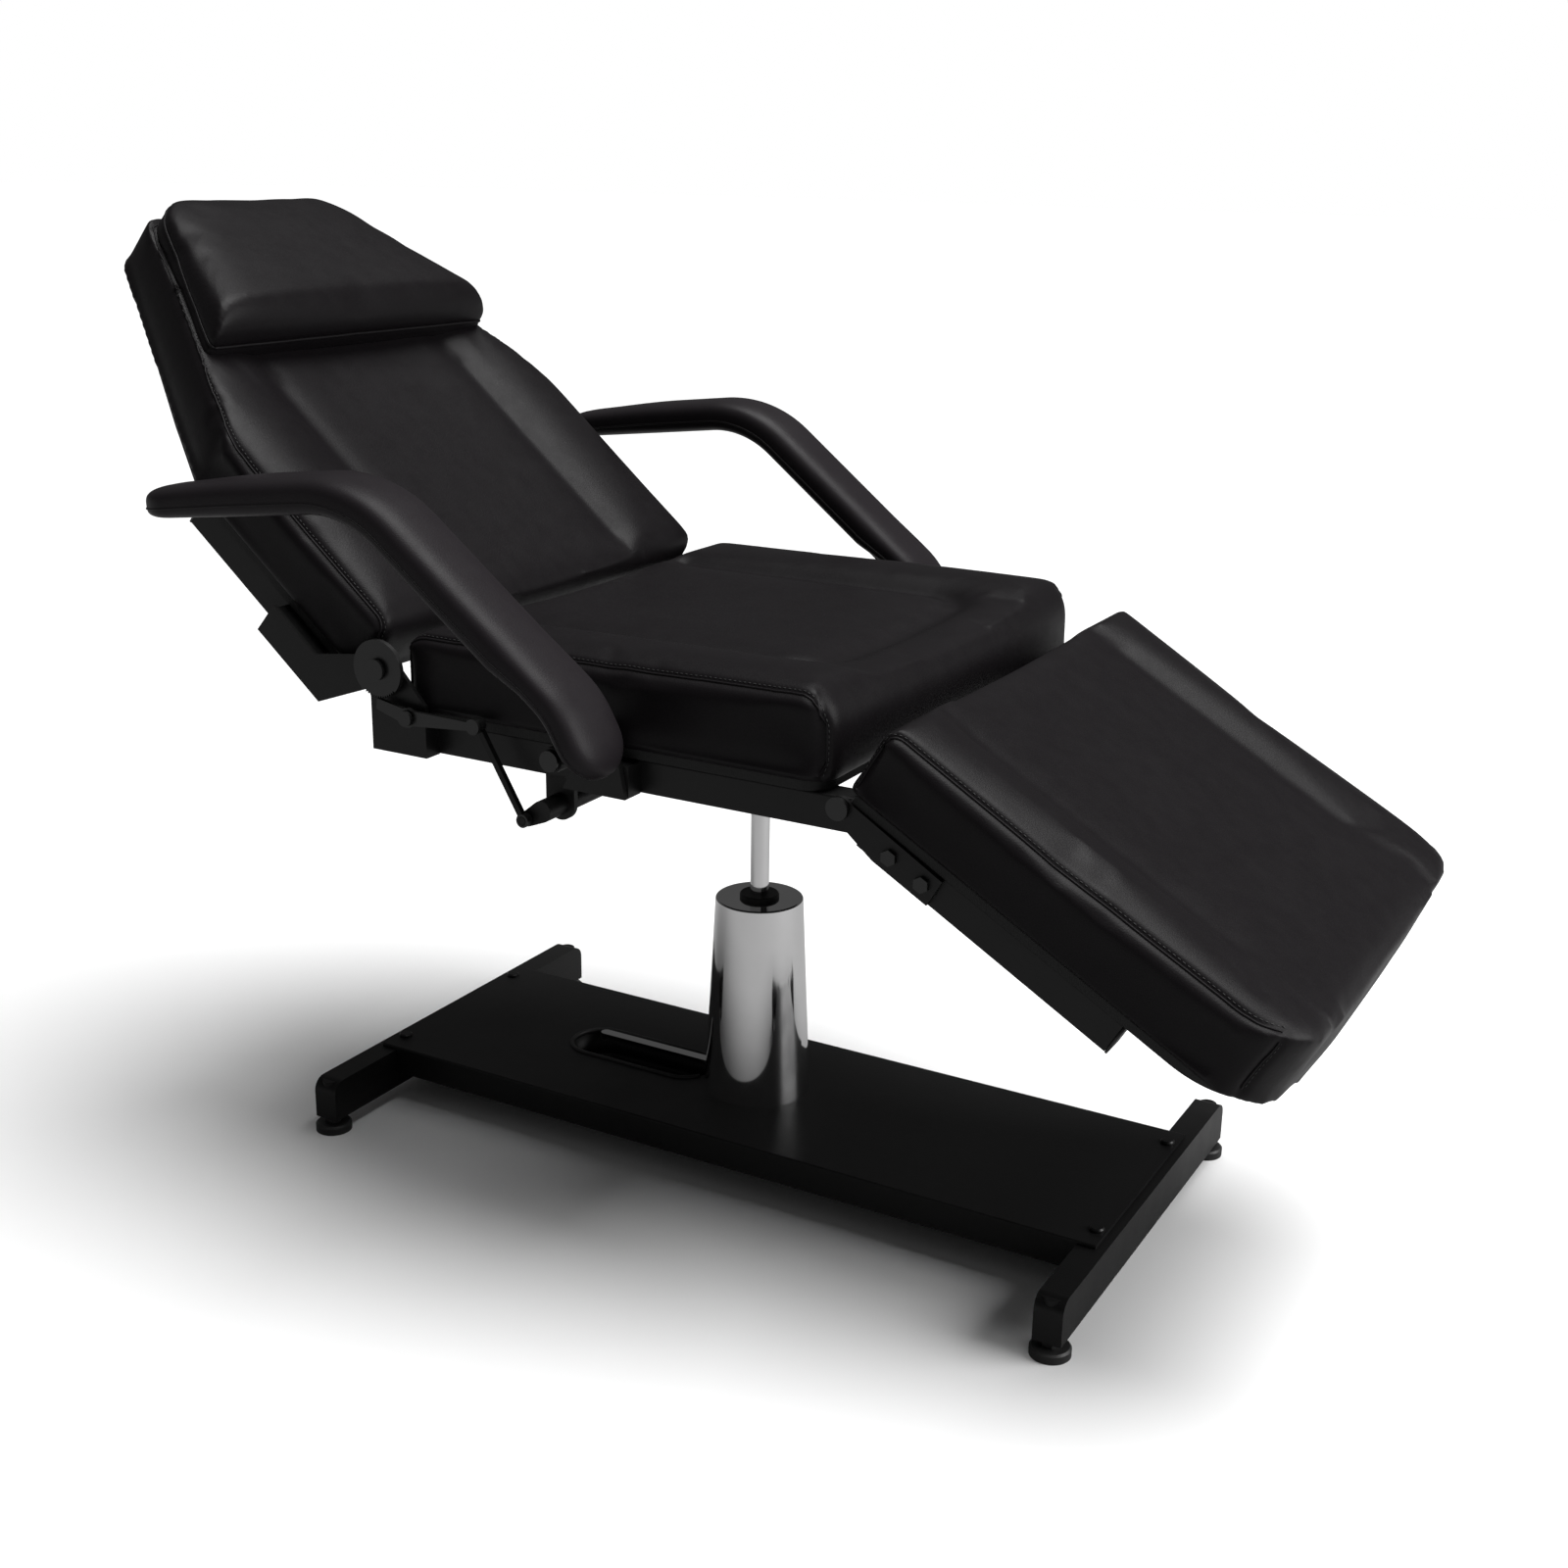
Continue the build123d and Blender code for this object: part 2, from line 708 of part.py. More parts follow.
# Backrest rails and their cross tube
back_rail_start = 14
frame_below = back_depth + board_thickness
back_rail_axis = -frame_below - rail_height / 2
for side_name, side in sides.items():
    rail_tube = square_tube(
        back_frame,
        back_rail_start,
        shoulder_start,
        side * rail_reach,
        back_rail_axis,
        rail_width,
        rail_height,
        rail_wall,
    )
    with BuildPart() as rail:
        add(rail_tube)
    save(rail, f"back_rail_{side_name}")


def cross_tube(frame, along, below):
    """Square tube between the two rails of a frame."""
    with BuildSketch(side_plane(frame)) as section:
        with Locations((along, -below - tube_size / 2)):
            Rectangle(tube_size, tube_size)
            Rectangle(tube_size - 2 * rail_wall, tube_size - 2 * rail_wall, mode=Mode.SUBTRACT)
    return extrude(to_extrude=section.sketch, amount=inner_face, both=True)


back_tube_along = 200
back_tube_solid = cross_tube(back_frame, back_tube_along, frame_below)
with BuildPart() as back_tube:
    add(back_tube_solid)
save(back_tube, "back_cross_tube")

# Backrest hinge: seat plates, backrest plates and pins
hinge_plate_thickness = 5
layer_gap = 1
seat_plate_inner = half_cushion + layer_gap
back_plate_inner = seat_plate_inner + hinge_plate_thickness + layer_gap
sector_inner = back_plate_inner + hinge_plate_thickness
sector_outer = sector_inner + hinge_plate_thickness
hinge_eye = 19
seat_plate_middle = seat_plate_inner + hinge_plate_thickness / 2
back_plate_middle = back_plate_inner + hinge_plate_thickness / 2
sector_middle = sector_inner + hinge_plate_thickness / 2
pin_head_radius = 11
pin_head_height = 4
plate_foot_ahead = 50
pawl_ahead = 36  # pawl's pivot from the backrest's
pawl_drop = 45
plate_foot_front = back_pivot_reach + plate_foot_ahead
plate_foot_rear = back_pivot_reach - hinge_eye
pawl_pivot_reach = back_pivot_reach + pawl_ahead
pawl_pivot_height = back_pivot_height - pawl_drop
pawl_pin_radius = 4
foot_top = frame_top - rail_wall
foot_low = frame_top - rail_height
back_foot_start = back_rail_start + rail_height
back_foot_end = back_rail_start + 3 * rail_height

for side_name, side in sides.items():
    with BuildPart() as seat_plate:
        with BuildSketch(side_plane(floor, side * seat_plate_middle)):
            with Locations((back_pivot_reach, back_pivot_height)):
                Circle(hinge_eye)
            with BuildLine():
                Polyline(
                    (back_pivot_reach - hinge_eye, back_pivot_height),
                    (plate_foot_rear, foot_low),
                    (plate_foot_front, foot_low),
                    (plate_foot_front, pawl_pivot_height + pin_head_radius),
                    (back_pivot_reach + hinge_eye, back_pivot_height),
                    close=True,
                )
            make_face()
            with Locations((back_pivot_reach, back_pivot_height)):
                Circle(hinge_pin_radius + running_fit, mode=Mode.SUBTRACT)
            with Locations((pawl_pivot_reach, pawl_pivot_height)):
                Circle(pawl_pin_radius + running_fit, mode=Mode.SUBTRACT)
        extrude(amount=hinge_plate_thickness / 2, both=True)
        with BuildSketch(side_plane(floor, side * (outer_face + seat_plate_inner) / 2)):
            with Locations(((seat_rail_rear + plate_foot_front) / 2, (foot_low + foot_top) / 2)):
                Rectangle(plate_foot_front - seat_rail_rear, foot_top - foot_low)
        extrude(amount=(seat_plate_inner - outer_face) / 2, both=True)
    save(seat_plate, f"seat_hinge_plate_{side_name}")

    with BuildPart() as back_plate:
        with BuildSketch(side_plane(back_frame, side * back_plate_middle)):
            with Locations((back_pivot_along, -back_pivot_below)):
                Circle(hinge_eye)
            with BuildLine():
                Polyline(
                    (back_pivot_along, hinge_eye - back_pivot_below),
                    (back_pivot_along - hinge_eye, -back_pivot_below),
                    (back_rail_start, -frame_below - rail_height),
                    (back_foot_end, -frame_below - rail_height),
                    (back_foot_end, -frame_below + rail_wall),
                    (back_foot_start, -frame_below + rail_wall),
                    close=True,
                )
            make_face()
            with Locations((back_pivot_along, -back_pivot_below)):
                Circle(hinge_pin_radius + running_fit, mode=Mode.SUBTRACT)
        extrude(amount=hinge_plate_thickness / 2, both=True)
        with BuildSketch(side_plane(back_frame, side * (outer_face + back_plate_inner) / 2)):
            with Locations(((back_foot_start + back_foot_end) / 2, back_rail_axis)):
                Rectangle(back_foot_end - back_foot_start, rail_height - 2 * rail_wall)
        extrude(amount=(back_plate_inner - outer_face) / 2, both=True)
    save(back_plate, f"back_hinge_plate_{side_name}")

# The toothed sector lies outside the right-hand backrest plate, so that pin is longer
pin_ends = {"right": sector_outer, "left": sector_inner}
with BuildPart() as back_pins:
    for side_name, side in sides.items():
        pin_end = pin_ends[side_name] + layer_gap
        with BuildSketch(side_plane(floor, side * (seat_plate_inner + pin_end) / 2)):
            with Locations((back_pivot_reach, back_pivot_height)):
                Circle(hinge_pin_radius)
        extrude(amount=(pin_end - seat_plate_inner) / 2, both=True)
        with BuildSketch(side_plane(floor, side * (pin_end + pin_head_height / 2))):
            with Locations((back_pivot_reach, back_pivot_height)):
                Circle(pin_head_radius)
        extrude(amount=pin_head_height / 2, both=True)
save(back_pins, "back_hinge_pins")

# Ratchet: toothed sector on the backrest and pawl on the seat, right-hand side only
sector_radius = 30
tooth_depth = 3
tooth_count = 14
tooth_turn = 6  # degrees from tooth to tooth
sector_turn = 5  # degrees by which the teeth reach past the range on each side
back_drop = 29.6  # degrees from the pictured position down to flat, less the stop
nose_gap = 0.4
nose_width = 3
pawl_gap = layer_gap / 2
tail_ahead = 81
tail_rise = 3
tail_reach = pawl_pivot_reach + tail_ahead
tail_height = pawl_pivot_height + tail_rise
tail_eye = 8
pawl_eye = 10
pawl_arm = 8
right = sides["right"]
first_tooth = -90 - back_drop - sector_turn

with BuildPart() as sector:
    with BuildSketch(side_plane(floor, right * sector_middle)):
        with Locations((back_pivot_reach, back_pivot_height)):
            Circle(sector_radius)
            Circle(hinge_pin_radius + running_fit, mode=Mode.SUBTRACT)
        with Locations((back_pivot_reach, back_pivot_height)):
            with PolarLocations(
                sector_radius,
                tooth_count,
                start_angle=first_tooth,
                angular_range=tooth_count * tooth_turn,
            ):
                RegularPolygon(tooth_depth, 3, rotation=180, mode=Mode.SUBTRACT)
    extrude(amount=hinge_plate_thickness / 2, both=True)
save(sector, "ratchet_sector")

pawl_middle = sector_outer + pawl_gap - hinge_plate_thickness / 2
nose_top = back_pivot_height - sector_radius - nose_gap
with BuildPart() as pawl:
    with BuildSketch(side_plane(floor, right * pawl_middle)):
        with BuildLine():
            Polyline(
                (back_pivot_reach - nose_width / 2, nose_top),
                (back_pivot_reach + nose_width / 2, nose_top),
                (pawl_pivot_reach, pawl_pivot_height + pawl_arm),
                (tail_reach, tail_height + pawl_arm / 2),
                (tail_reach, tail_height - pawl_arm / 2),
                (pawl_pivot_reach, pawl_pivot_height - pawl_arm),
                (back_pivot_reach - nose_width, pawl_pivot_height + pawl_arm / 2),
                close=True,
            )
        make_face()
        with Locations((pawl_pivot_reach, pawl_pivot_height)):
            Circle(pawl_eye)
            Circle(pawl_pin_radius + running_fit, mode=Mode.SUBTRACT)
        with Locations((tail_reach, tail_height)):
            Circle(tail_eye)
    extrude(amount=hinge_plate_thickness / 2 - pawl_gap / 2, both=True)
    with BuildSketch(side_plane(floor, right * (seat_plate_inner + sector_outer) / 2)):
        with Locations((tail_reach, tail_height)):
            Circle(pawl_pin_radius)
    extrude(amount=(sector_outer - seat_plate_inner) / 2, both=True)
save(pawl, "ratchet_pawl")

with BuildPart() as pawl_pin:
    with BuildSketch(side_plane(floor, right * (seat_plate_inner + sector_outer) / 2)):
        with Locations((pawl_pivot_reach, pawl_pivot_height)):
            Circle(pawl_pin_radius)
    extrude(amount=(sector_outer - seat_plate_inner) / 2 + layer_gap, both=True)
    with BuildSketch(side_plane(floor, right * (sector_outer + layer_gap + pin_head_height / 2))):
        with Locations((pawl_pivot_reach, pawl_pivot_height)):
            Circle(2 * pawl_pin_radius)
    extrude(amount=pin_head_height / 2, both=True)
save(pawl_pin, "pawl_pin")

# Release bar in its hangers, with a crank on its right-hand end
bar_back = 75
bar_drop = 33  # release bar below the seat rails
bar_radius = 11
bar_inset = 3
hanger_inset = 3
hanger_thickness = 6
hanger_eye = 17
crank_thickness = 5
crank_back = 17
crank_drop = 10
crank_pin_radius = 4
crank_eye = 8
rod_radius = 3
rod_eye = 7
bar_reach = -bar_back
bar_height = foot_low - bar_drop
bar_half = half_cushion - bar_inset
hanger_middle = rail_reach - hanger_inset
crank_pin_reach = bar_reach - crank_back
crank_pin_height = bar_height - crank_drop
rod_inner = bar_half + crank_thickness + layer_gap
rod_outer = sector_inner - layer_gap
open_eye_play = 0.7  # the lower eye of the rod sits loosely on the crank pin
crank_middle = bar_half + crank_thickness / 2
rod_middle = (rod_inner + rod_outer) / 2

for side_name, side in sides.items():
    with BuildPart() as hanger:
        with BuildSketch(side_plane(floor, side * hanger_middle)):
            with Locations((bar_reach, bar_height)):
                Circle(hanger_eye)
            with Locations((bar_reach, (bar_height + foot_low) / 2)):
                Rectangle(2 * hanger_eye, foot_low - bar_height)
            with Locations((bar_reach, bar_height)):
                Circle(bar_radius + running_fit, mode=Mode.SUBTRACT)
        extrude(amount=hanger_thickness / 2, both=True)
    save(hanger, f"release_bar_hanger_{side_name}")

with BuildPart() as release_bar:
    with BuildSketch(side_plane(floor)):
        with Locations((bar_reach, bar_height)):
            Circle(bar_radius)
            Circle(bar_radius - rail_wall, mode=Mode.SUBTRACT)
    extrude(amount=bar_half, both=True)
    with BuildSketch(side_plane(floor, right * crank_middle)):
        with Locations((bar_reach, bar_height)):
            Circle(bar_radius)
        with Locations((crank_pin_reach, crank_pin_height)):
            Circle(crank_eye)
        make_hull()
    extrude(amount=crank_thickness / 2, both=True)
    with BuildSketch(side_plane(floor, right * (bar_half + rod_outer) / 2)):
        with Locations((crank_pin_reach, crank_pin_height)):
            Circle(crank_pin_radius)
    extrude(amount=(rod_outer - bar_half) / 2, both=True)
save(release_bar, "release_bar")

rod_low = Vector(crank_pin_reach, crank_pin_height)
rod_high = Vector(tail_reach, tail_height)
rod_run = rod_high - rod_low
rod_turn = rod_run.get_angle(Vector(1, 0))
with BuildPart() as pull_rod:
    with BuildSketch(side_plane(floor, right * rod_middle)):
        with Locations((crank_pin_reach, crank_pin_height), (tail_reach, tail_height)):
            Circle(rod_eye)
    extrude(amount=(rod_outer - rod_inner) / 2, both=True)
    with BuildSketch(side_plane(floor, right * rod_middle)):
        with Locations((rod_low + rod_high) * 0.5):
            Rectangle(rod_run.length, 2 * rod_radius, rotation=rod_turn)
    extrude(amount=rod_radius, both=True)
    with BuildSketch(side_plane(floor, right * rod_middle)):
        with Locations((crank_pin_reach, crank_pin_height)):
            Circle(crank_pin_radius + open_eye_play)
        with Locations((tail_reach, tail_height)):
            Circle(pawl_pin_radius + running_fit)
    extrude(amount=rod_outer - rod_inner, both=True, mode=Mode.SUBTRACT)
save(pull_rod, "pull_rod")

# Leg rest: cushion, board, rails, hinge plates, bolts and pins
leg_start = 9  # edge of the cushion, from the frame's origin
leg_roll = 26
leg_foot_roll = 30
leg_rest_round = 80
leg_bow = 18
leg_bolster = 105
leg_tilt = radians(leg_angle)
leg_frame = turned_frame(
    Vector(pump_reach + leg_pivot_reach, 0, leg_pivot_height),
    leg_pivot_along,
    -leg_pivot_below,
    Vector(cos(leg_tilt), 0, -sin(leg_tilt)),
    Vector(sin(leg_tilt), 0, cos(leg_tilt)),
)
leg_below = leg_depth + board_thickness


def leg_outline(frame, lift, inset):
    """Outline of the leg rest, drawn in by the inset, or let out where it is below zero."""
    wide = half_cushion - inset
    end = leg_length - leg_bow - inset
    with BuildSketch(frame.offset(lift)) as outline:
        with BuildLine():
            Polyline((end, wide), (leg_start + inset, wide), (leg_start + inset, -wide), (end, -wide))
            ThreePointArc((end, -wide), (end + leg_bow, 0), (end, wide))
        make_face()
        fillet(outline.vertices().sort_by(Axis.X)[-2:], leg_rest_round)
    return outline.sketch


with BuildPart() as leg_board:
    extrude(
        to_extrude=leg_outline(leg_frame, -leg_below, board_inset),
        amount=board_thickness,
        dir=leg_frame.z_dir,
    )
save(leg_board, "leg_board")

with BuildPart() as leg_cushion:
    extrude(
        to_extrude=leg_outline(leg_frame, -leg_depth - cut_overrun, -cut_overrun),
        amount=leg_depth + 2 * bolster_dip,
        dir=leg_frame.z_dir,
    )
    extrude(
        to_extrude=padded_section(
            leg_frame,
            leg_start,
            half_cushion,
            -leg_depth,
            -bolster_dip / 2,
            leg_bolster,
            bolster_dip,
            side_draw,
            cushion_edge,
        ),
        amount=leg_length - leg_start,
        dir=leg_frame.x_dir,
        mode=Mode.INTERSECT,
    )
    with BuildSketch(side_plane(leg_frame).offset(-half_cushion - cut_overrun)):
        with BuildLine():
            Line((leg_start, -leg_depth), (leg_start, -leg_roll))
            RadiusArc((leg_start, -leg_roll), (leg_start + leg_roll, 0), leg_roll)
            Line((leg_start + leg_roll, 0), (leg_length - leg_foot_roll, 0))
            RadiusArc((leg_length - leg_foot_roll, 0), (leg_length, -leg_foot_roll), leg_foot_roll)
            Line((leg_length, -leg_foot_roll), (leg_length, -leg_depth))
            Line((leg_length, -leg_depth), (leg_start, -leg_depth))
        make_face()
    extrude(amount=cushion_width + 2 * cut_overrun, mode=Mode.INTERSECT)
save(leg_cushion, "leg_cushion")

leg_rail_start = 45
leg_rail_end_gap = 150
leg_tube_gap = 80
leg_rail_end = leg_length - leg_rail_end_gap
leg_tube_along = leg_rail_end - leg_tube_gap
leg_rail_axis = -leg_below - rail_height / 2
leg_plate_end = 130
leg_plate_inner = outer_face + layer_gap
leg_plate_middle = leg_plate_inner + hinge_plate_thickness / 2
leg_eye = 11
leg_pad_start = 66
leg_bolt_places = [78, 116]
leg_bolt_radius = 4
leg_bolt_head = 8
leg_plate_outer = leg_plate_inner + hinge_plate_thickness
leg_plate_top = -leg_below - rail_wall
leg_plate_low = -leg_below - rail_height + rail_wall

for side_name, side in sides.items():
    rail_tube = square_tube(
        leg_frame,
        leg_rail_start,
        leg_rail_end,
        side * rail_reach,
        leg_rail_axis,
        rail_width,
        rail_height,
        rail_wall,
    )
    with BuildPart() as rail:
        add(rail_tube)
        with BuildSketch(side_plane(leg_frame, side * outer_face)):
            for place in leg_bolt_places:
                with Locations((place, leg_rail_axis)):
                    Circle(leg_bolt_radius + running_fit)
        extrude(amount=rail_width / 2, both=True, mode=Mode.SUBTRACT)
    save(rail, f"leg_rail_{side_name}")

    with BuildPart() as leg_plate:
        with BuildSketch(side_plane(leg_frame, side * leg_plate_middle)):
            with Locations((leg_pivot_along, -leg_pivot_below)):
                Circle(leg_eye)
            with BuildLine():
                Polyline(
                    (leg_pivot_along, leg_eye - leg_pivot_below - running_fit),
                    (leg_plate_end, leg_plate_top),
                    (leg_plate_end, leg_plate_low),
                    (leg_pad_start, leg_plate_low),
                    (leg_pivot_along, -leg_pivot_below - leg_eye + running_fit),
                    close=True,
                )
            make_face()
            with Locations((leg_pivot_along, -leg_pivot_below)):
                Circle(hinge_pin_radius + running_fit, mode=Mode.SUBTRACT)
            for place in leg_bolt_places:
                with Locations((place, leg_rail_axis)):
                    Circle(leg_bolt_radius + running_fit, mode=Mode.SUBTRACT)
        extrude(amount=hinge_plate_thickness / 2, both=True)
        with BuildSketch(side_plane(leg_frame, side * (outer_face + leg_plate_inner) / 2)):
            with Locations(((leg_pad_start + leg_plate_end) / 2, leg_rail_axis)):
                Rectangle(leg_plate_end - leg_pad_start, leg_plate_top - leg_plate_low)
            for place in leg_bolt_places:
                with Locations((place, leg_rail_axis)):
                    Circle(leg_bolt_radius + running_fit, mode=Mode.SUBTRACT)
        extrude(amount=layer_gap / 2, both=True)
    save(leg_plate, f"leg_hinge_plate_{side_name}")

leg_pin_inner = inner_face - pin_head_height
leg_pin_end = leg_plate_outer + layer_gap
with BuildPart() as leg_pins:
    for side in sides.values():
        with BuildSketch(side_plane(floor, side * (leg_pin_inner + leg_pin_end) / 2)):
            with Locations((leg_pivot_reach, leg_pivot_height)):
                Circle(hinge_pin_radius)
        extrude(amount=(leg_pin_end - leg_pin_inner) / 2, both=True)
        with BuildSketch(side_plane(floor, side * (leg_pin_end + pin_head_height / 2))):
            with Locations((leg_pivot_reach, leg_pivot_height)):
                Circle(pin_head_radius)
        extrude(amount=pin_head_height / 2, both=True)
save(leg_pins, "leg_hinge_pins")

with BuildPart() as leg_bolts:
    for side in sides.values():
        for place in leg_bolt_places:
            with BuildSketch(side_plane(leg_frame, side * (leg_plate_outer + pin_head_height / 2))):
                with Locations((place, leg_rail_axis)):
                    RegularPolygon(leg_bolt_head, 6)
            extrude(amount=pin_head_height / 2, both=True)
            with BuildSketch(side_plane(leg_frame, side * (leg_plate_outer + outer_face) / 2)):
                with Locations((place, leg_rail_axis)):
                    Circle(leg_bolt_radius)
            extrude(amount=(leg_plate_outer - outer_face) / 2 + rail_wall, both=True)
save(leg_bolts, "leg_plate_bolts")

leg_tube_solid = cross_tube(leg_frame, leg_tube_along, leg_below)
with BuildPart() as leg_tube:
    add(leg_tube_solid)
save(leg_tube, "leg_cross_tube")

# Armrests: padded tops that bend down beside the seat, on steel cores
arm_gap = 26  # armrest pad beside the cushions
arm_width = 80
pad_thickness = 27
pad_edge = 9
arm_tip_reach = 497
arm_tip_rise = 188
arm_bend_reach = 222
arm_bend_rise = 221
arm_knee_reach = 1
arm_knee_rise = 49
arm_end_reach = 33
arm_end_drop = 11
bend_radius = 120
knee_radius = 70
tip_round = 30
end_round = 37
core_width = 50
core_thickness = 5
core_inset = 26
arm_pivot_below = 15
boss_radius = 12
bracket_gap = 6
bracket_thickness = 6
bracket_eye = 15
bracket_rear_reach = 42
bracket_front_reach = 30
arm_bolt_radius = 6
arm_bolt_head = 10
arm_inner = half_cushion + arm_gap
bracket_inner = half_cushion + bracket_gap
arm_tip = (-arm_tip_reach, seat_base_height + arm_tip_rise)
arm_bend = (-arm_bend_reach, seat_base_height + arm_bend_rise)
arm_knee = (-arm_knee_reach, seat_base_height + arm_knee_rise)
arm_end = (arm_end_reach, seat_base_height - arm_end_drop)
arm_middle = arm_inner + arm_width / 2
arm_run = Vector(arm_end) - Vector(arm_knee)
arm_run = arm_run.normalized()
arm_normal = Vector(-arm_run.Y, arm_run.X)
arm_pivot = (Vector(arm_knee) + Vector(arm_end)) * 0.5 - arm_normal * arm_pivot_below
bracket_middle = bracket_inner + bracket_thickness / 2
boss_inner = bracket_inner + bracket_thickness + layer_gap
boss_outer = arm_middle + core_width / 2
core_tip = Vector(arm_tip) + (Vector(arm_bend) - Vector(arm_tip)).normalized() * core_inset
core_end = Vector(arm_end) - arm_run * core_inset
core_tip = (core_tip.X, core_tip.Y)
core_end = (core_end.X, core_end.Y)


def arm_route(plane, start, end):
    """Line between the pad and its core, seen from the side."""
    with BuildLine(plane) as route:
        FilletPolyline(start, arm_bend, arm_knee, end, radius=[bend_radius, knee_radius])
    return route.line


def end_cut(end, inward, radius):
    """What is cut off the pad to round the corners of one end."""
    across = Vector(0, 1, 0)
    with BuildSketch(Plane(end, x_dir=inward, z_dir=inward.cross(across))) as corners:
        Rectangle(2 * radius, arm_width + 2 * cut_overrun)
        with Locations((2 * radius, 0)):
            RectangleRounded(4 * radius, arm_width, radius, mode=Mode.SUBTRACT)
    return extrude(to_extrude=corners.sketch, amount=2 * pad_thickness, both=True)


for side_name, side in sides.items():
    arm_plane = side_plane(floor, side * arm_middle)
    pad_line = arm_route(arm_plane, arm_tip, arm_end)
    core_line = arm_route(arm_plane, core_tip, core_end)
    with BuildPart() as pad:
        with BuildSketch(Plane(pad_line @ 0, x_dir=arm_plane.z_dir, z_dir=pad_line % 0)):
            with Locations((0, -(pad_thickness + soft_gap) / 2)):
                RectangleRounded(arm_width, pad_thickness, pad_edge)
        sweep(path=pad_line)
        add(end_cut(pad_line @ 0, pad_line % 0, tip_round), mode=Mode.SUBTRACT)
        add(end_cut(pad_line @ 1, pad_line % 1 * -1, end_round), mode=Mode.SUBTRACT)
    save(pad, f"armrest_pad_{side_name}")

    with BuildPart() as core:
        with BuildSketch(Plane(core_line @ 0, x_dir=arm_plane.z_dir, z_dir=core_line % 0)):
            with Locations((0, core_thickness / 2)):
                Rectangle(core_width, core_thickness)
        sweep(path=core_line)
        with BuildSketch(side_plane(floor, side * (boss_inner + boss_outer) / 2)):
            with Locations(arm_pivot):
                Circle(boss_radius)
        extrude(amount=(boss_outer - boss_inner) / 2, both=True)
        with BuildSketch(side_plane(floor, side * (boss_inner + boss_outer) / 2)):
            with Locations(arm_pivot):
                Circle(arm_bolt_radius + running_fit)
        extrude(amount=boss_outer - boss_inner, both=True, mode=Mode.SUBTRACT)
    save(core, f"armrest_core_{side_name}")

    with BuildPart() as bracket:
        with BuildSketch(side_plane(floor, side * bracket_middle)):
            with Locations(arm_pivot):
                Circle(bracket_eye)
            with BuildLine():
                Polyline(
                    (arm_pivot.X - bracket_eye, arm_pivot.Y),
                    (-bracket_rear_reach, foot_low),
                    (bracket_front_reach, foot_low),
                    (arm_pivot.X + bracket_eye, arm_pivot.Y),
                    close=True,
                )
            make_face()
            with Locations(arm_pivot):
                Circle(arm_bolt_radius + running_fit, mode=Mode.SUBTRACT)
        extrude(amount=bracket_thickness / 2, both=True)
        with BuildSketch(side_plane(floor, side * (outer_face + bracket_inner) / 2)):
            with Locations(((bracket_front_reach - bracket_rear_reach) / 2, (foot_low + foot_top) / 2)):
                Rectangle(bracket_front_reach + bracket_rear_reach, foot_top - foot_low)
        extrude(amount=(bracket_inner - outer_face) / 2, both=True)
    save(bracket, f"armrest_bracket_{side_name}")

arm_bolt_end = boss_outer + layer_gap
with BuildPart() as arm_bolts:
    for side in sides.values():
        with BuildSketch(side_plane(floor, side * (bracket_inner + arm_bolt_end) / 2)):
            with Locations(arm_pivot):
                Circle(arm_bolt_radius)
        extrude(amount=(arm_bolt_end - bracket_inner) / 2, both=True)
        with BuildSketch(side_plane(floor, side * (arm_bolt_end + pin_head_height / 2))):
            with Locations(arm_pivot):
                Circle(arm_bolt_head)
        extrude(amount=pin_head_height / 2, both=True)
save(arm_bolts, "armrest_bolts")
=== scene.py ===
import json
import math
import bpy
import bmesh
import numpy as np
from mathutils import Matrix, Vector
from mathutils.bvhtree import BVHTree


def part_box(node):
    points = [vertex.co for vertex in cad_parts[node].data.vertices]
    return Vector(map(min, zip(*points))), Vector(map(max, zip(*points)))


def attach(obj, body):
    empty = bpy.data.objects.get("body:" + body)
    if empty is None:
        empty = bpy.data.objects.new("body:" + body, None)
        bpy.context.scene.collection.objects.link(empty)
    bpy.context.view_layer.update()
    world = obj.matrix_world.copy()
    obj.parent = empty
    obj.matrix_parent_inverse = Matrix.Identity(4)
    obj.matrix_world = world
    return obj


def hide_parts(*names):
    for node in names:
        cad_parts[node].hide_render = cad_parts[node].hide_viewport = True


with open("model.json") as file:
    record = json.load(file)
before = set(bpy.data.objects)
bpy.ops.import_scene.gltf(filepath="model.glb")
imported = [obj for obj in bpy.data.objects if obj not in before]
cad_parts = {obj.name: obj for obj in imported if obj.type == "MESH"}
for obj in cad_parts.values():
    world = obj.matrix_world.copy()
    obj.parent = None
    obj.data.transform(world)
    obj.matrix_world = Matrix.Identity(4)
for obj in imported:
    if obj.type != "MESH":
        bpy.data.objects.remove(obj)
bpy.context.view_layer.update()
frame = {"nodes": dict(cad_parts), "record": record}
print("chair frame loaded:", len(frame["nodes"]), "parts")


# Node wiring: sockets that can be added and multiplied, on one bench per tree

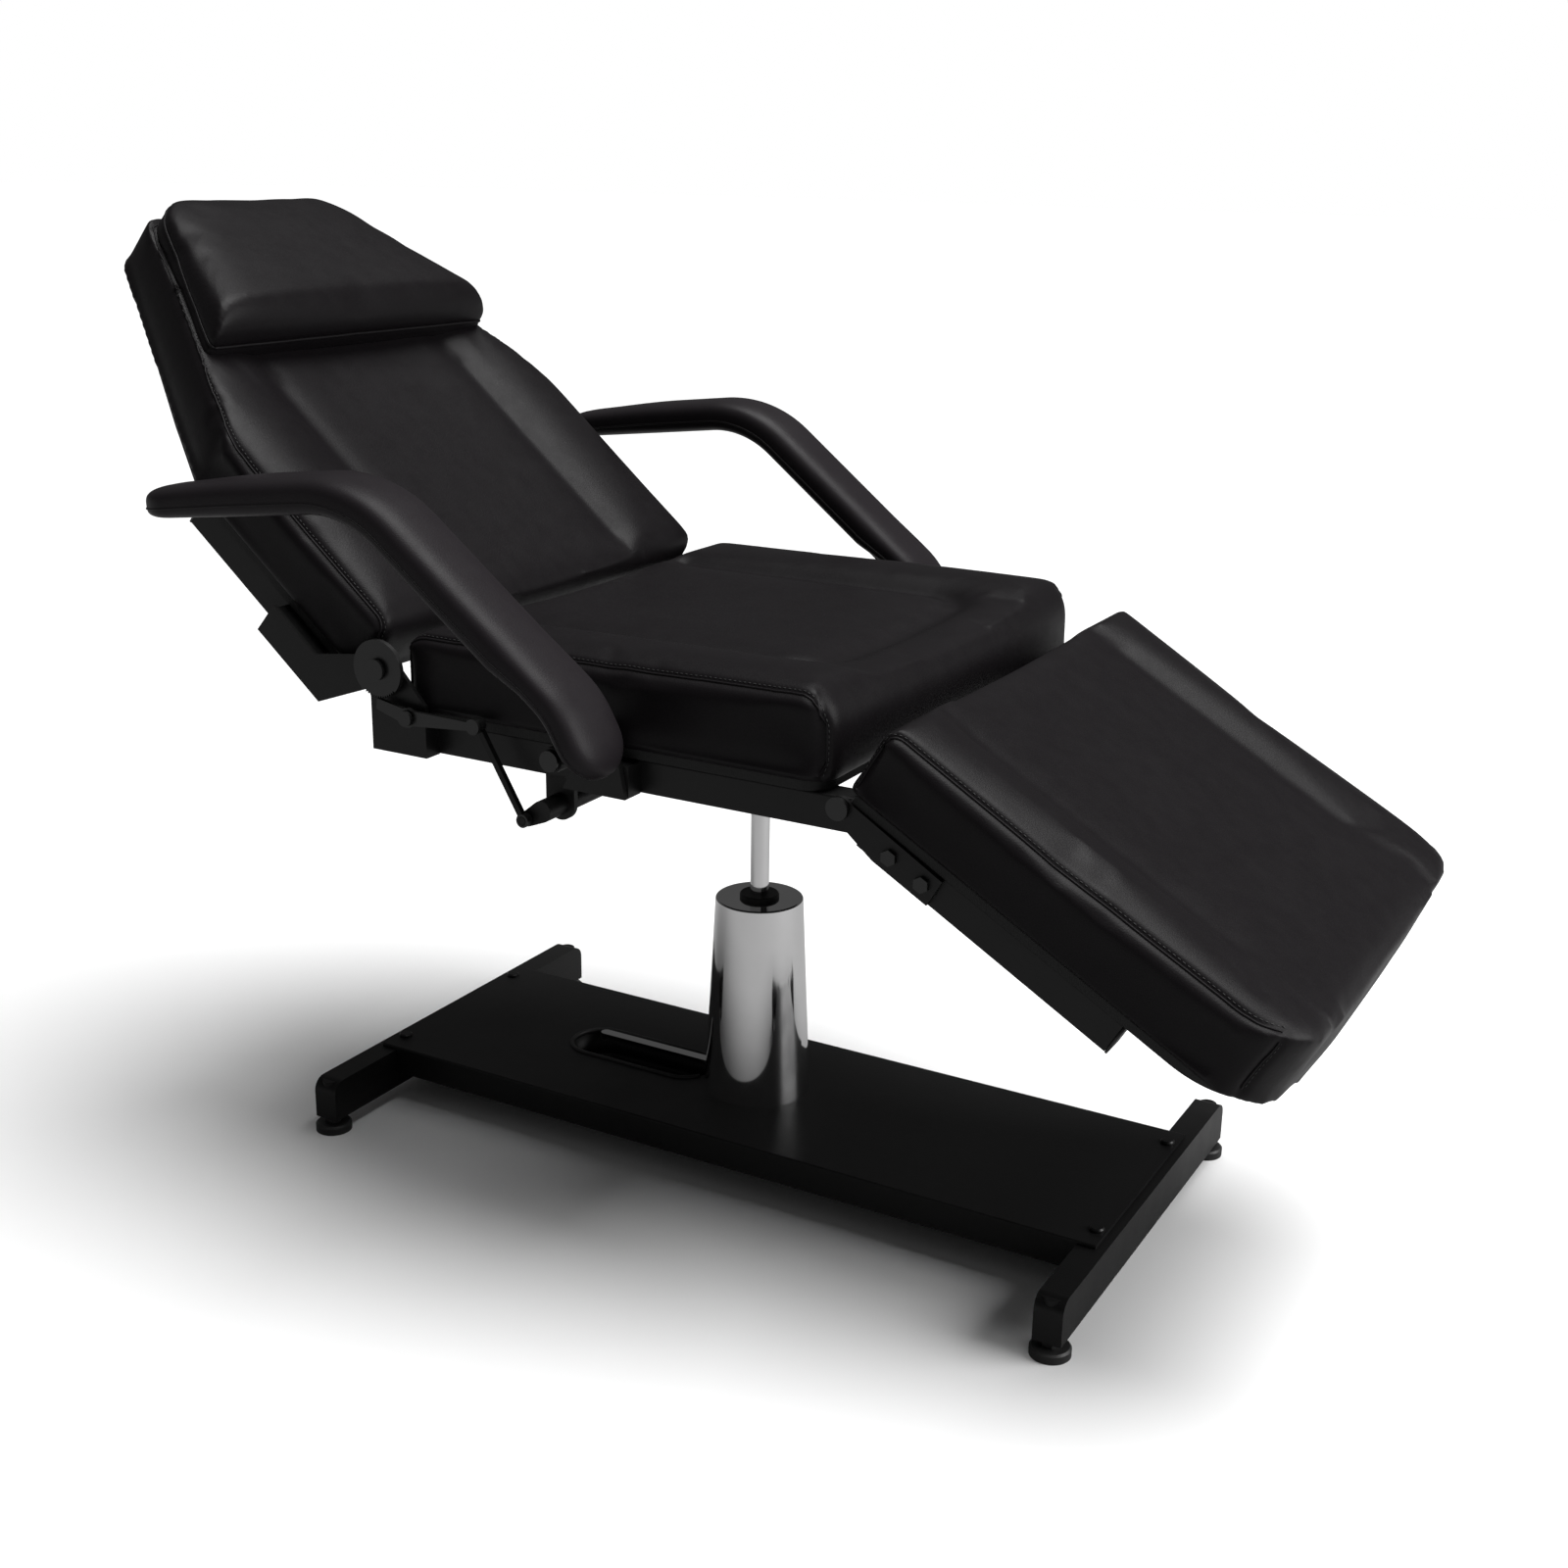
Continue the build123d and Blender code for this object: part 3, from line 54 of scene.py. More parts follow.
class Wire:
    def __init__(self, bench, socket):
        self.bench = bench
        self.socket = socket

    def join(self, operation, other, flip=False):
        first, second = (other, self) if flip else (self, other)
        return self.bench.put("ShaderNodeMath", {"operation": operation}, {0: first, 1: second})[0]

    def __add__(self, other):
        return self.join("ADD", other)

    def __radd__(self, other):
        return self.join("ADD", other, True)

    def __sub__(self, other):
        return self.join("SUBTRACT", other)

    def __rsub__(self, other):
        return self.join("SUBTRACT", other, True)

    def __mul__(self, other):
        return self.join("MULTIPLY", other)

    def __rmul__(self, other):
        return self.join("MULTIPLY", other, True)

    def __truediv__(self, other):
        return self.join("DIVIDE", other)

    def __rtruediv__(self, other):
        return self.join("DIVIDE", other, True)

    def __pow__(self, other):
        return self.join("POWER", other)

    def held(self, low, high):  # kept between two values
        return self.join("MAXIMUM", low).join("MINIMUM", high)


class Outlets:
    def __init__(self, bench, node):
        self.bench = bench
        self.node = node

    def __getitem__(self, key):
        return Wire(self.bench, self.node.outputs[key])


class Bench:
    def __init__(self, tree):
        self.tree = tree

    def put(self, kind, settings=None, values=None):
        node = self.tree.nodes.new(kind)
        for key, value in (settings or {}).items():
            if key == "stops":
                ramp = node.color_ramp
                while len(ramp.elements) < len(value):
                    ramp.elements.new(1)
                for element, (place, shade) in zip(ramp.elements, value):
                    element.position = place
                    element.color = (shade, shade, shade, 1)
            else:
                setattr(node, key, value)
        for key, value in (values or {}).items():
            if isinstance(value, Wire):
                self.tree.links.new(value.socket, node.inputs[key])
            else:
                node.inputs[key].default_value = value
        return Outlets(self, node)

    def blendColours(self, share, first, second):
        return self.put("ShaderNodeMix", {"data_type": "RGBA"}, {0: share, 6: first, 7: second})[2]

    def noise(self, place, scale, detail=3, roughness=0.5):
        values = {"Vector": place, "Scale": scale, "Detail": detail, "Roughness": roughness}
        return self.put("ShaderNodeTexNoise", None, values)["Fac"]

    def cells(self, place, scale, feature="F1"):
        values = {"Vector": place, "Scale": scale}
        return self.put("ShaderNodeTexVoronoi", {"feature": feature}, values)["Distance"]

    def ramp(self, share, stops):
        return self.put("ShaderNodeValToRGB", {"stops": stops}, {"Fac": share})["Color"]

    def edges(self, start, end):  # 0 on flat faces, 1 on sharp outer edges
        return self.ramp(self.put("ShaderNodeNewGeometry")["Pointiness"], [(start, 0), (end, 1)])

    def stretched(self, place, scale):
        return self.put("ShaderNodeMapping", None, {"Vector": place, "Scale": scale})["Vector"]

    def bump(self, strength, depth, height):
        values = {"Strength": strength, "Distance": depth, "Height": height}
        return self.put("ShaderNodeBump", None, values)["Normal"]


def startFinish(name):
    finish = bpy.data.materials.new(name)
    finish.use_nodes = True
    bench = Bench(finish.node_tree)
    shader = finish.node_tree.nodes["Principled BSDF"]
    place = bench.put("ShaderNodeTexCoord")["Object"]
    return finish, bench, shader, place


def feed(bench, shader, values):
    for key, value in values.items():
        if isinstance(value, Wire):
            bench.tree.links.new(value.socket, shader.inputs[key])
        else:
            shader.inputs[key].default_value = value


def grey(level, warm=0.0):
    return (level * (1 + warm), level, level * (1 + warm * 0.8), 1)


# Leatherette of the cushions: pebbled grain, soft tone changes, rubbed edges
vinylLook = {
    "shade": 0.005,
    "rubbedShade": 0.0105,
    "warmth": 0.2,
    "grainScale": 620,
    "poreScale": 1900,
    "grainDepth": 0.00022,
    "roughness": 0.46,
    "gloss": 0.13,
}


def makeVinyl(name, look):
    finish, bench, shader, place = startFinish(name)
    cloudy = bench.noise(place, 5.5, 4, 0.6)
    grain = bench.cells(place, look["grainScale"])
    pores = bench.noise(place, look["poreScale"], 2)
    handled = bench.noise(place, 38, 3, 0.7)
    rubbed = (bench.edges(0.5, 0.56) * 0.55 + (cloudy - 0.5) * 0.9).held(0, 1)
    tone = bench.blendColours(
        rubbed, grey(look["shade"], look["warmth"]), grey(look["rubbedShade"], look["warmth"] / 2)
    )
    bump = bench.bump(0.5, look["grainDepth"], grain * 0.8 + pores * 0.35)
    feed(bench, shader, {
        "Base Color": tone,
        "Roughness": (look["roughness"] + (handled - 0.5) * 0.2 - grain * 0.06).held(0.2, 0.8),
        "Normal": bump,
        "Specular IOR Level": look["gloss"],
    })
    return finish


# Stove enamel on the steel frame
paintLook = {"shade": 0.0035, "wornShade": 0.014, "peelScale": 420, "roughness": 0.42}


def makePaint(name, look):
    finish, bench, shader, place = startFinish(name)
    dusty = bench.noise(place, 9, 5, 0.65)
    peel = bench.noise(place, look["peelScale"], 2, 0.4)
    specks = bench.cells(place, 260)
    worn = (bench.edges(0.52, 0.6) * 0.5 + (dusty - 0.52) * 0.7).held(0, 1)
    tone = bench.blendColours(worn, grey(look["shade"], 0.06), grey(look["wornShade"]))
    bump = bench.bump(0.35, 0.0002, peel + specks * 0.2)
    feed(bench, shader, {
        "Base Color": tone,
        "Roughness": (look["roughness"] + (dusty - 0.5) * 0.3).held(0.2, 0.8),
        "Normal": bump,
        "Specular IOR Level": 0.25,
    })
    return finish


# Polished chrome of the pump cover and the ram
chromeLook = {"shade": 0.78, "hazeShade": 0.66, "roughness": 0.05}


def makeChrome(name, look):
    finish, bench, shader, place = startFinish(name)
    haze = bench.noise(place, 14, 4, 0.6)
    polish = bench.noise(bench.stretched(place, (900, 900, 12)), 1, 2)
    tone = bench.blendColours(haze, grey(look["shade"], 0.01), grey(look["hazeShade"]))
    bump = bench.bump(0.05, 0.0001, polish)
    feed(bench, shader, {
        "Base Color": tone,
        "Metallic": 1.0,
        "Roughness": (look["roughness"] + haze * 0.06).held(0.02, 0.3),
        "Normal": bump,
    })
    return finish


# Blackened steel of pins, bolts, ratchet and gland
steelLook = {"shade": 0.011, "brightShade": 0.045, "roughness": 0.34}


def makeSteel(name, look):
    finish, bench, shader, place = startFinish(name)
    oil = bench.noise(place, 60, 4, 0.6)
    marks = bench.noise(bench.stretched(place, (300, 2600, 300)), 1, 3)
    rubbed = (bench.edges(0.51, 0.6) * 0.8 + oil * 0.3).held(0, 1)
    tone = bench.blendColours(rubbed, grey(look["shade"]), grey(look["brightShade"]))
    bump = bench.bump(0.2, 0.0001, marks)
    feed(bench, shader, {
        "Base Color": tone,
        "Metallic": 0.85,
        "Roughness": (look["roughness"] + (oil - 0.5) * 0.25).held(0.12, 0.7),
        "Normal": bump,
    })
    return finish


# Moulded black plastic of the feet, plugs and threads
plasticLook = {"shade": 0.011, "greyShade": 0.022, "grainScale": 800, "roughness": 0.5}


def makePlastic(name, look):
    finish, bench, shader, place = startFinish(name)
    cloudy = bench.noise(place, 30, 4, 0.6)
    grain = bench.noise(place, look["grainScale"], 2)
    tone = bench.blendColours(cloudy, grey(look["shade"]), grey(look["greyShade"]))
    bump = bench.bump(0.4, 0.0002, grain)
    feed(bench, shader, {
        "Base Color": tone,
        "Roughness": (look["roughness"] + (cloudy - 0.5) * 0.3).held(0.25, 0.9),
        "Normal": bump,
    })
    return finish


# Black lining cloth that covers the boards underneath
liningLook = {"shade": 0.01, "threadShade": 0.02, "threads": 900}


def makeLining(name, look):
    finish, bench, shader, place = startFinish(name)
    cloudy = bench.noise(place, 12, 4, 0.6)
    wave = {"Vector": place, "Scale": look["threads"] / 6.0, "Distortion": 0.4}
    along = bench.put("ShaderNodeTexWave", {"bands_direction": "X"}, wave)["Fac"]
    across = bench.put("ShaderNodeTexWave", {"bands_direction": "Y"}, wave)["Fac"]
    weave = along * 0.5 + across * 0.5
    pale = (weave * 0.6 + cloudy * 0.4).held(0, 1)
    tone = bench.blendColours(pale, grey(look["shade"]), grey(look["threadShade"]))
    bump = bench.bump(0.6, 0.0003, weave)
    feed(bench, shader, {
        "Base Color": tone,
        "Roughness": (0.82 + cloudy * 0.12).held(0, 1),
        "Normal": bump,
    })
    return finish


finishes = {
    "vinyl": makeVinyl("cushionVinyl", vinylLook),
    "frame_paint": makePaint("framePaint", paintLook),
    "chrome": makeChrome("pumpChrome", chromeLook),
    "steel": makeSteel("pinSteel", steelLook),
    "plastic": makePlastic("footPlastic", plasticLook),
    "board": makeLining("boardLining", liningLook),
}
armLook = {**vinylLook, "shade": 0.011, "rubbedShade": 0.02, "grainScale": 760}
armVinyl = makeVinyl("armVinyl", armLook)
seamVinyl = makeVinyl("seamVinyl", {**vinylLook, "shade": 0.006, "roughness": 0.5})
threadLook = {**plasticLook, "shade": 0.016, "greyShade": 0.03, "roughness": 0.6}
seamThread = makePlastic("seamThread", threadLook)
print("finishes made:", len(finishes) + 3)

# Each part of the frame gets the finish of its slot in the record
slotOf = {part["node"]: part["material_slot"] for part in frame["record"]["subparts"]}
for node, part in frame["nodes"].items():
    part.data.materials.clear()
    part.data.materials.append(finishes[slotOf.get(node, "frame_paint")])
    for face in part.data.polygons:
        face.use_smooth = True
print("frame parts dressed, without a slot:", sorted(set(frame["nodes"]) - set(slotOf)))


# Frames in which each cushion lies flat: x along it, y across, z up

def layOf(pivot, along, below, tilt, heading):
    turn = math.radians(tilt)
    ahead = Vector((heading * math.cos(turn), 0, -heading * math.sin(turn)))
    up = Vector((math.sin(turn), 0, math.cos(turn)))
    origin = Vector(pivot) - ahead * along - up * below
    side = up.cross(ahead)
    lay = Matrix((ahead, side, up)).transposed().to_4x4()
    lay.translation = origin
    return lay


ramLow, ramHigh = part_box("pump_ram")
pumpX = (ramLow.x + ramHigh.x) / 2  # the pump's axis, from which the seat is laid out
seatLay = Matrix.Translation((pumpX, 0, 0))
backLay = layOf((pumpX - 0.262, 0, 0.590), along=-0.0196, below=-0.0336, tilt=40.4, heading=-1)
legLay = layOf((pumpX + 0.2465, 0, 0.5271), along=0.014, below=-0.106, tilt=30.2, heading=1)


def newPiece(name, mesh, finish, body):
    piece = bpy.data.objects.new(name, mesh)
    bpy.context.scene.collection.objects.link(piece)
    mesh.materials.clear()
    mesh.materials.append(finish)
    for face in mesh.polygons:
        face.use_smooth = True
    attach(piece, body)
    return piece


def plainMesh(piece):
    shown = piece.evaluated_get(bpy.context.evaluated_depsgraph_get())
    mesh = bpy.data.meshes.new_from_object(shown)
    piece.modifiers.clear()
    return mesh


def pointsOf(mesh):
    flat = np.zeros(len(mesh.vertices) * 3)
    mesh.vertices.foreach_get("co", flat)
    return flat.reshape(-1, 3)


def setPoints(mesh, points):
    mesh.vertices.foreach_set("co", np.asarray(points, float).ravel())
    mesh.update()


def normalsOf(mesh):
    flat = np.zeros(len(mesh.vertices) * 3, np.float32)
    mesh.vertex_normals.foreach_get("vector", flat)
    return flat.reshape(-1, 3)


def bandFaces(work, low, high):  # one row of faces between two closed loops of points
    for k in range(len(low)):
        j = (k + 1) % len(low)
        work.faces.new((low[k], low[j], high[j], high[k]))


def meshFrom(name, work):  # turns the faces outwards and ends the mesh work
    bmesh.ops.recalc_face_normals(work, faces=work.faces)
    mesh = bpy.data.meshes.new(name)
    work.to_mesh(mesh)
    work.free()
    return mesh


def softLimit(moves, most):  # shortens each move so that none passes the most
    size = np.linalg.norm(moves, axis=1, keepdims=True)
    return moves / (1 + size / most)


def gapTo(points, lines):  # distance from each point to the nearest of the lines
    nearest = np.full(len(points), 1.0)
    for line in lines:
        for start, end in zip(line[:-1], line[1:]):
            run = np.asarray(end, float) - np.asarray(start, float)
            if run @ run < 1e-10:
                continue
            share = np.clip(((points - start) @ run) / (run @ run), 0, 1)[:, None]
            nearest = np.minimum(nearest, np.linalg.norm(points - (start + share * run), axis=1))
    return nearest


def ridgeShare(distance, width):  # 1 on a line, fading to nothing over the width
    return np.exp(-((distance / width) ** 2))


def softenCorners(points, corners):  # turns square corners in plan into round ones
    for x, y, ahead, radius in corners:
        side = math.copysign(1, y)
        gone = points[:, :2] - (x - ahead * radius, y - side * radius)
        inside = (gone[:, 0] * ahead > 0) & (gone[:, 1] * side > 0)
        most = np.abs(gone).max(axis=1)
        size = np.maximum(np.linalg.norm(gone, axis=1), 1e-9)
        gone *= (most / size)[:, None]
        rounded = gone + (x - ahead * radius, y - side * radius)
        points[inside, :2] = rounded[inside]


def evenedOut(mesh, moves, rounds):  # brings each point's move closer to its neighbours' moves
    ends = np.empty(len(mesh.edges) * 2, np.int32)
    mesh.edges.foreach_get("vertices", ends)
    ends = ends.reshape(-1, 2)
    count = np.bincount(ends.ravel(), minlength=len(moves))[:, None]
    for step in range(rounds):
        near = np.zeros_like(moves)
        np.add.at(near, ends[:, 0], moves[ends[:, 1]])
        np.add.at(near, ends[:, 1], moves[ends[:, 0]])
        moves = (moves + near / count) / 2
    return moves


# Padding: the cushion is meshed evenly, drawn in along its creases and blown up as cloth
def swellPad(name, mesh, values, creases, heldShare):
    pad = bpy.data.objects.new(name, mesh)
    bpy.context.scene.collection.objects.link(pad)
    remesh = pad.modifiers.new("even", "REMESH")
    remesh.mode = "VOXEL"
    remesh.voxel_size = values["voxel"]
    smooth = pad.modifiers.new("smooth", "SMOOTH")
    smooth.factor = 0.5
    smooth.iterations = values["smoothing"]
    pad.data = plainMesh(pad)
    rest = pointsOf(pad.data)
    low = rest[:, 2].min()
    free = np.clip((rest[:, 2] - low) / values["voxel"] / 2, 0, 1)[:, None]
    rest = rest - normalsOf(pad.data) * values["shrink"] * free
    softenCorners(rest, values.get("corners", []))
    crease = ridgeShare(gapTo(rest[:, :2], creases), values.get("creaseWidth", 0.01))
    crease *= np.clip((rest[:, 2] - low) / (rest[:, 2].max() - low) * 4 - 2, 0, 1)
    rest[:, 2] -= crease * values.get("creaseDepth", 0)
    setPoints(pad.data, rest)
    share = np.clip(np.maximum(heldShare(rest), crease * 0.8), 0, 1)
    share[rest[:, 2] < low + values["voxel"]] = 1
    group = pad.vertex_groups.new(name="held")
    for step in range(11):
        level = step / 10
        chosen = np.nonzero(np.abs(share - level) <= 0.05)[0]
        if len(chosen):
            group.add([int(i) for i in chosen], level, "REPLACE")
    cloth = pad.modifiers.new("padding", "CLOTH")
    cloth.settings.quality = 4
    cloth.settings.mass = 0.4
    cloth.settings.tension_stiffness = 20
    cloth.settings.compression_stiffness = 20
    cloth.settings.shear_stiffness = 8
    cloth.settings.bending_stiffness = values["bending"]
    cloth.settings.use_pressure = True
    cloth.settings.uniform_pressure_force = values["pressure"]
    cloth.settings.effector_weights.gravity = 0
    cloth.settings.vertex_group_mass = "held"
    cloth.point_cache.frame_start = 1
    cloth.point_cache.frame_end = values["frames"]
    for step in range(1, values["frames"] + 1):
        bpy.context.scene.frame_set(step)
    swollen = plainMesh(pad)
    moves = softLimit(pointsOf(swollen) - rest, values["most"])
    moves = evenedOut(swollen, moves, values.get("settle", 0))
    pad.data = swollen
    setPoints(pad.data, rest + moves)
    bpy.context.scene.frame_set(1)
    meanMove = float(np.linalg.norm(moves, axis=1).mean())
    print(name, "blown up, mean move", round(meanMove * 1000, 1), "mm")
    finer = pad.modifiers.new("finer", "SUBSURF")
    finer.levels = finer.render_levels = 1
    mesh = plainMesh(pad)
    bpy.data.objects.remove(pad)
    return mesh


def flatCopy(node, lay):  # copy of a part's mesh, laid flat in its own frame and closed
    mesh = frame["nodes"][node].data.copy()
    mesh.transform(lay.inverted())
    work = bmesh.new()
    work.from_mesh(mesh)
    bmesh.ops.remove_doubles(work, verts=work.verts, dist=0.00005)
    bmesh.ops.recalc_face_normals(work, faces=work.faces)
    work.to_mesh(mesh)
    work.free()
    return mesh


def pressSeams(mesh, lines, depth, width):  # draws the cover in along its sewn lines
    points = pointsOf(mesh)
    sunk = ridgeShare(gapTo(points, lines), width)
    setPoints(mesh, points - normalsOf(mesh) * (sunk * depth)[:, None])


def laidOn(mesh, guide, lift):  # puts each point of a guide line on the cover
    tree = BVHTree.FromPolygons(
        [tuple(v.co) for v in mesh.vertices], [tuple(p.vertices) for p in mesh.polygons]
    )
    line, ups = [], []
    for point in guide:
        spot, normal, _, _ = tree.find_nearest(Vector(point))
        line.append(np.array(spot + normal * lift))
        ups.append(np.array(normal))
    return line, ups


def evenly(corners, step):  # points at even steps along a run of corners
    corners = [np.array(c, float) for c in corners]
    points = [corners[0]]
    for start, end in zip(corners[:-1], corners[1:]):
        reach = float(np.linalg.norm(end - start))
        if reach < step / 10:
            continue
        count = max(1, round(reach / step))
        points += [start + (end - start) * (i + 1) / count for i in range(count)]
    return points


def arcPoints(centre, radius, start, end, count):
    turns = [math.radians(start + (end - start) * i / count) for i in range(count + 1)]
    return [(centre[0] + radius * math.cos(t), centre[1] + radius * math.sin(t)) for t in turns]


# Small shapes that repeat: threads, staples, screws and weld drops, in thousandths of a metre
def smallShape(name, build):
    work = bmesh.new()
    build(work)
    shape = bpy.data.objects.new(name, meshFrom(name, work))
    bpy.context.scene.collection.objects.link(shape)
    return shape


def threadShape(work):
    bmesh.ops.create_uvsphere(work, u_segments=8, v_segments=6, radius=0.5)
    bmesh.ops.scale(work, verts=work.verts, vec=(3.6, 1, 0.9))


def stapleShape(work):
    bmesh.ops.create_cube(work, size=1)
    bmesh.ops.scale(work, verts=work.verts, vec=(10, 1.2, 0.7))
    bmesh.ops.bevel(work, geom=work.edges[:], offset=0.25, segments=2, affect="EDGES", profile=0.5)


def dropShape(work):
    bmesh.ops.create_icosphere(work, subdivisions=2, radius=0.5)
    bmesh.ops.scale(work, verts=work.verts, vec=(1, 1.5, 0.9))


def screwShape(work):  # pan head with a cross recess
    rings = [(0, 4.2), (0.9, 4.2), (1.7, 3.9), (2.3, 3.1), (2.6, 2.2)]
    count = 24
    loops = []
    for height, radius in rings:
        loop = []
        for i in range(count):
            turn = 2 * math.pi * i / count
            loop.append(work.verts.new((radius * math.cos(turn), radius * math.sin(turn), height)))
        loops.append(loop)
    for low, high in zip(loops[:-1], loops[1:]):
        bandFaces(work, low, high)
    work.faces.new(list(reversed(loops[0])))
    cross = []
    for quarter in range(4):
        turn = math.pi / 2 * quarter
        for x, y in ((1.9, -0.45), (1.9, 0.45), (0.5, 0.5)):
            cross.append((
                x * math.cos(turn) - y * math.sin(turn),
                x * math.sin(turn) + y * math.cos(turn),
            ))
    edge = [work.verts.new((x, y, 2.65)) for x, y in cross]
    deep = [work.verts.new((x * 0.6, y * 0.6, 1.2)) for x, y in cross]
    rim = [work.edges.new((a, b)) for a, b in zip(edge, edge[1:] + edge[:1])]
    crown = [e for e in work.edges if all(v in loops[-1] for v in e.verts)]
    bmesh.ops.triangle_fill(work, use_beauty=True, edges=rim + crown, normal=(0, 0, 1))
    for i in range(12):
        j = (i + 1) % 12
        work.faces.new((edge[i], edge[j], deep[j], deep[i]))
    work.faces.new(list(reversed(deep)))


shapes = {
    "thread": smallShape("threadShape", threadShape),
    "staple": smallShape("stapleShape", stapleShape),
    "drop": smallShape("dropShape", dropShape),
    "screw": smallShape("screwShape", screwShape),
}


def rowTree():  # sets a shape at even steps along a path, headed along it and up from the surface
    tree = bpy.data.node_groups.new("rowAlongPath", "GeometryNodeTree")
    inputs = {
        "Geometry": "Geometry", "Shape": "Object", "Step": "Float", "Size": "Float",
        "Unevenness": "Float", "Finish": "Material",
    }
    for label, kind in inputs.items():
        tree.interface.new_socket(label, in_out="INPUT", socket_type="NodeSocket" + kind)
    tree.interface.new_socket("Geometry", in_out="OUTPUT", socket_type="NodeSocketGeometry")
    bench = Bench(tree)
    given = bench.put("NodeGroupInput")
    path = bench.put("GeometryNodeMeshToCurve", None, {"Mesh": given["Geometry"]})["Curve"]
    even = bench.put(
        "GeometryNodeResampleCurve", {"mode": "LENGTH"}, {"Curve": path, "Length": given["Step"]}
    )["Curve"]
    upward = bench.put(
        "GeometryNodeInputNamedAttribute", {"data_type": "FLOAT_VECTOR"}, {"Name": "up"}
    )["Attribute"]
    ahead = bench.put("GeometryNodeInputTangent")["Tangent"]
    headed = bench.put(
        "FunctionNodeAlignRotationToVector", {"axis": "X"}, {"Vector": ahead}
    )["Rotation"]
    turned = bench.put(
        "FunctionNodeAlignRotationToVector", {"axis": "Z", "pivot_axis": "X"},
        {"Rotation": headed, "Vector": upward},
    )["Rotation"]
    shape = bench.put("GeometryNodeObjectInfo", None, {"Object": given["Shape"]})["Geometry"]
    spread = bench.put(
        "FunctionNodeRandomValue", {"data_type": "FLOAT"}, {2: -1.0, 3: 1.0, "Seed": 7}
    )[1]
    size = given["Size"] * (1 + spread * given["Unevenness"])
    sizes = bench.put("ShaderNodeCombineXYZ", None, {"X": size, "Y": size, "Z": size})["Vector"]
    row = bench.put(
        "GeometryNodeInstanceOnPoints", None,
        {"Points": even, "Instance": shape, "Rotation": turned, "Scale": sizes},
    )["Instances"]
    real = bench.put("GeometryNodeRealizeInstances", None, {"Geometry": row})["Geometry"]
    dressed = bench.put(
        "GeometryNodeSetMaterial", None, {"Geometry": real, "Material": given["Finish"]}
    )["Geometry"]
    bench.put("NodeGroupOutput", None, {"Geometry": dressed})
    return tree


alongPath = rowTree()


def rowAlong(name, paths, shape, step, size, finish, body, unevenness=0.0):
    mesh = bpy.data.meshes.new(name)
    points, edges, ups = [], [], []
    for line, normals in paths:
        first = len(points)
        points += [tuple(p) for p in line]
        ups += [tuple(n) for n in normals]
        edges += [(first + i, first + i + 1) for i in range(len(line) - 1)]
    mesh.from_pydata(points, edges, [])
    upward = mesh.attributes.new("up", "FLOAT_VECTOR", "POINT")
    upward.data.foreach_set("vector", np.array(ups, np.float32).ravel())
    row = bpy.data.objects.new(name + "Path", mesh)
    bpy.context.scene.collection.objects.link(row)
    maker = row.modifiers.new("row", "NODES")
    maker.node_group = alongPath
    given = {
        "Shape": shapes[shape], "Step": step, "Size": size, "Unevenness": unevenness,
        "Finish": finish,
    }
    for socket in alongPath.interface.items_tree:
        if socket.item_type == "SOCKET" and socket.in_out == "INPUT" and socket.name in given:
            maker[socket.identifier] = given[socket.name]
    bpy.context.view_layer.update()
    made = plainMesh(row)
    bpy.data.objects.remove(row)
    for layer in [a.name for a in made.attributes if a.name == "up"]:
        made.attributes.remove(made.attributes[layer])
    return newPiece(name, made, finish, body)


def tubeAlong(name, paths, radius, finish, body, flat=1.0):  # cord-like seam along each path
    work = bmesh.new()
    count = 8
    for line, normals in paths:
        rings = []
        for i, spot in enumerate(line):
            ahead = Vector(line[min(i + 1, len(line) - 1)] - line[max(i - 1, 0)]).normalized()
            up = Vector(normals[i])
            side = ahead.cross(up).normalized()
            up = side.cross(ahead)
            ring = []
            for k in range(count):
                turn = 2 * math.pi * k / count
                out = side * math.cos(turn) * radius + up * math.sin(turn) * radius * flat
                ring.append(work.verts.new(Vector(spot) + out))
            rings.append(ring)
        for low, high in zip(rings[:-1], rings[1:]):
            bandFaces(work, low, high)
        work.faces.new(rings[0])
        work.faces.new(list(reversed(rings[-1])))
    return newPiece(name, meshFrom(name, work), finish, body)


def moved(paths, lay):  # takes seam paths from a cushion's own frame to the chair's
    turn = np.array(lay.to_3x3())
    shift = np.array(lay.translation)
    return [([turn @ p + shift for p in line], [turn @ n for n in ups]) for line, ups in paths]


def beside(guide, offset):  # a line that runs beside a guide, towards the cushion's middle
    return [np.array((p[0], p[1] - math.copysign(offset, p[1]), p[2])) for p in guide]


stitchRow = {"step": 0.0052, "size": 0.00095, "unevenness": 0.08, "lift": 0.0002}


def makePad(name, node, lay, values, creases, heldShare, guides, body, shape=None):
    mesh = swellPad(name + "Shape", shape or flatCopy(node, lay), values, creases, heldShare)
    seams = [laidOn(mesh, guide, 0)[0] for guide in guides]
    pressSeams(mesh, seams, values["seamDepth"], values["seamWidth"])
    lines = [laidOn(mesh, seam, values["seamLift"]) for seam in seams]
    threads = [beside(seam, values["stitchGap"]) for seam in seams]
    stitches = [laidOn(mesh, thread, stitchRow["lift"]) for thread in threads]
    mesh.transform(lay)
    pad = newPiece(name, mesh, finishes["vinyl"], body)
    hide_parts(node)
    if lines:
        tubeAlong(name + "Seam", moved(lines, lay), values["seamRadius"], seamVinyl, body)
        rowAlong(
            name + "Stitches", moved(stitches, lay), "thread", stitchRow["step"], stitchRow["size"],
            seamThread, body, stitchRow["unevenness"],
        )
    print(name, "done:", len(mesh.polygons), "faces")
    return pad


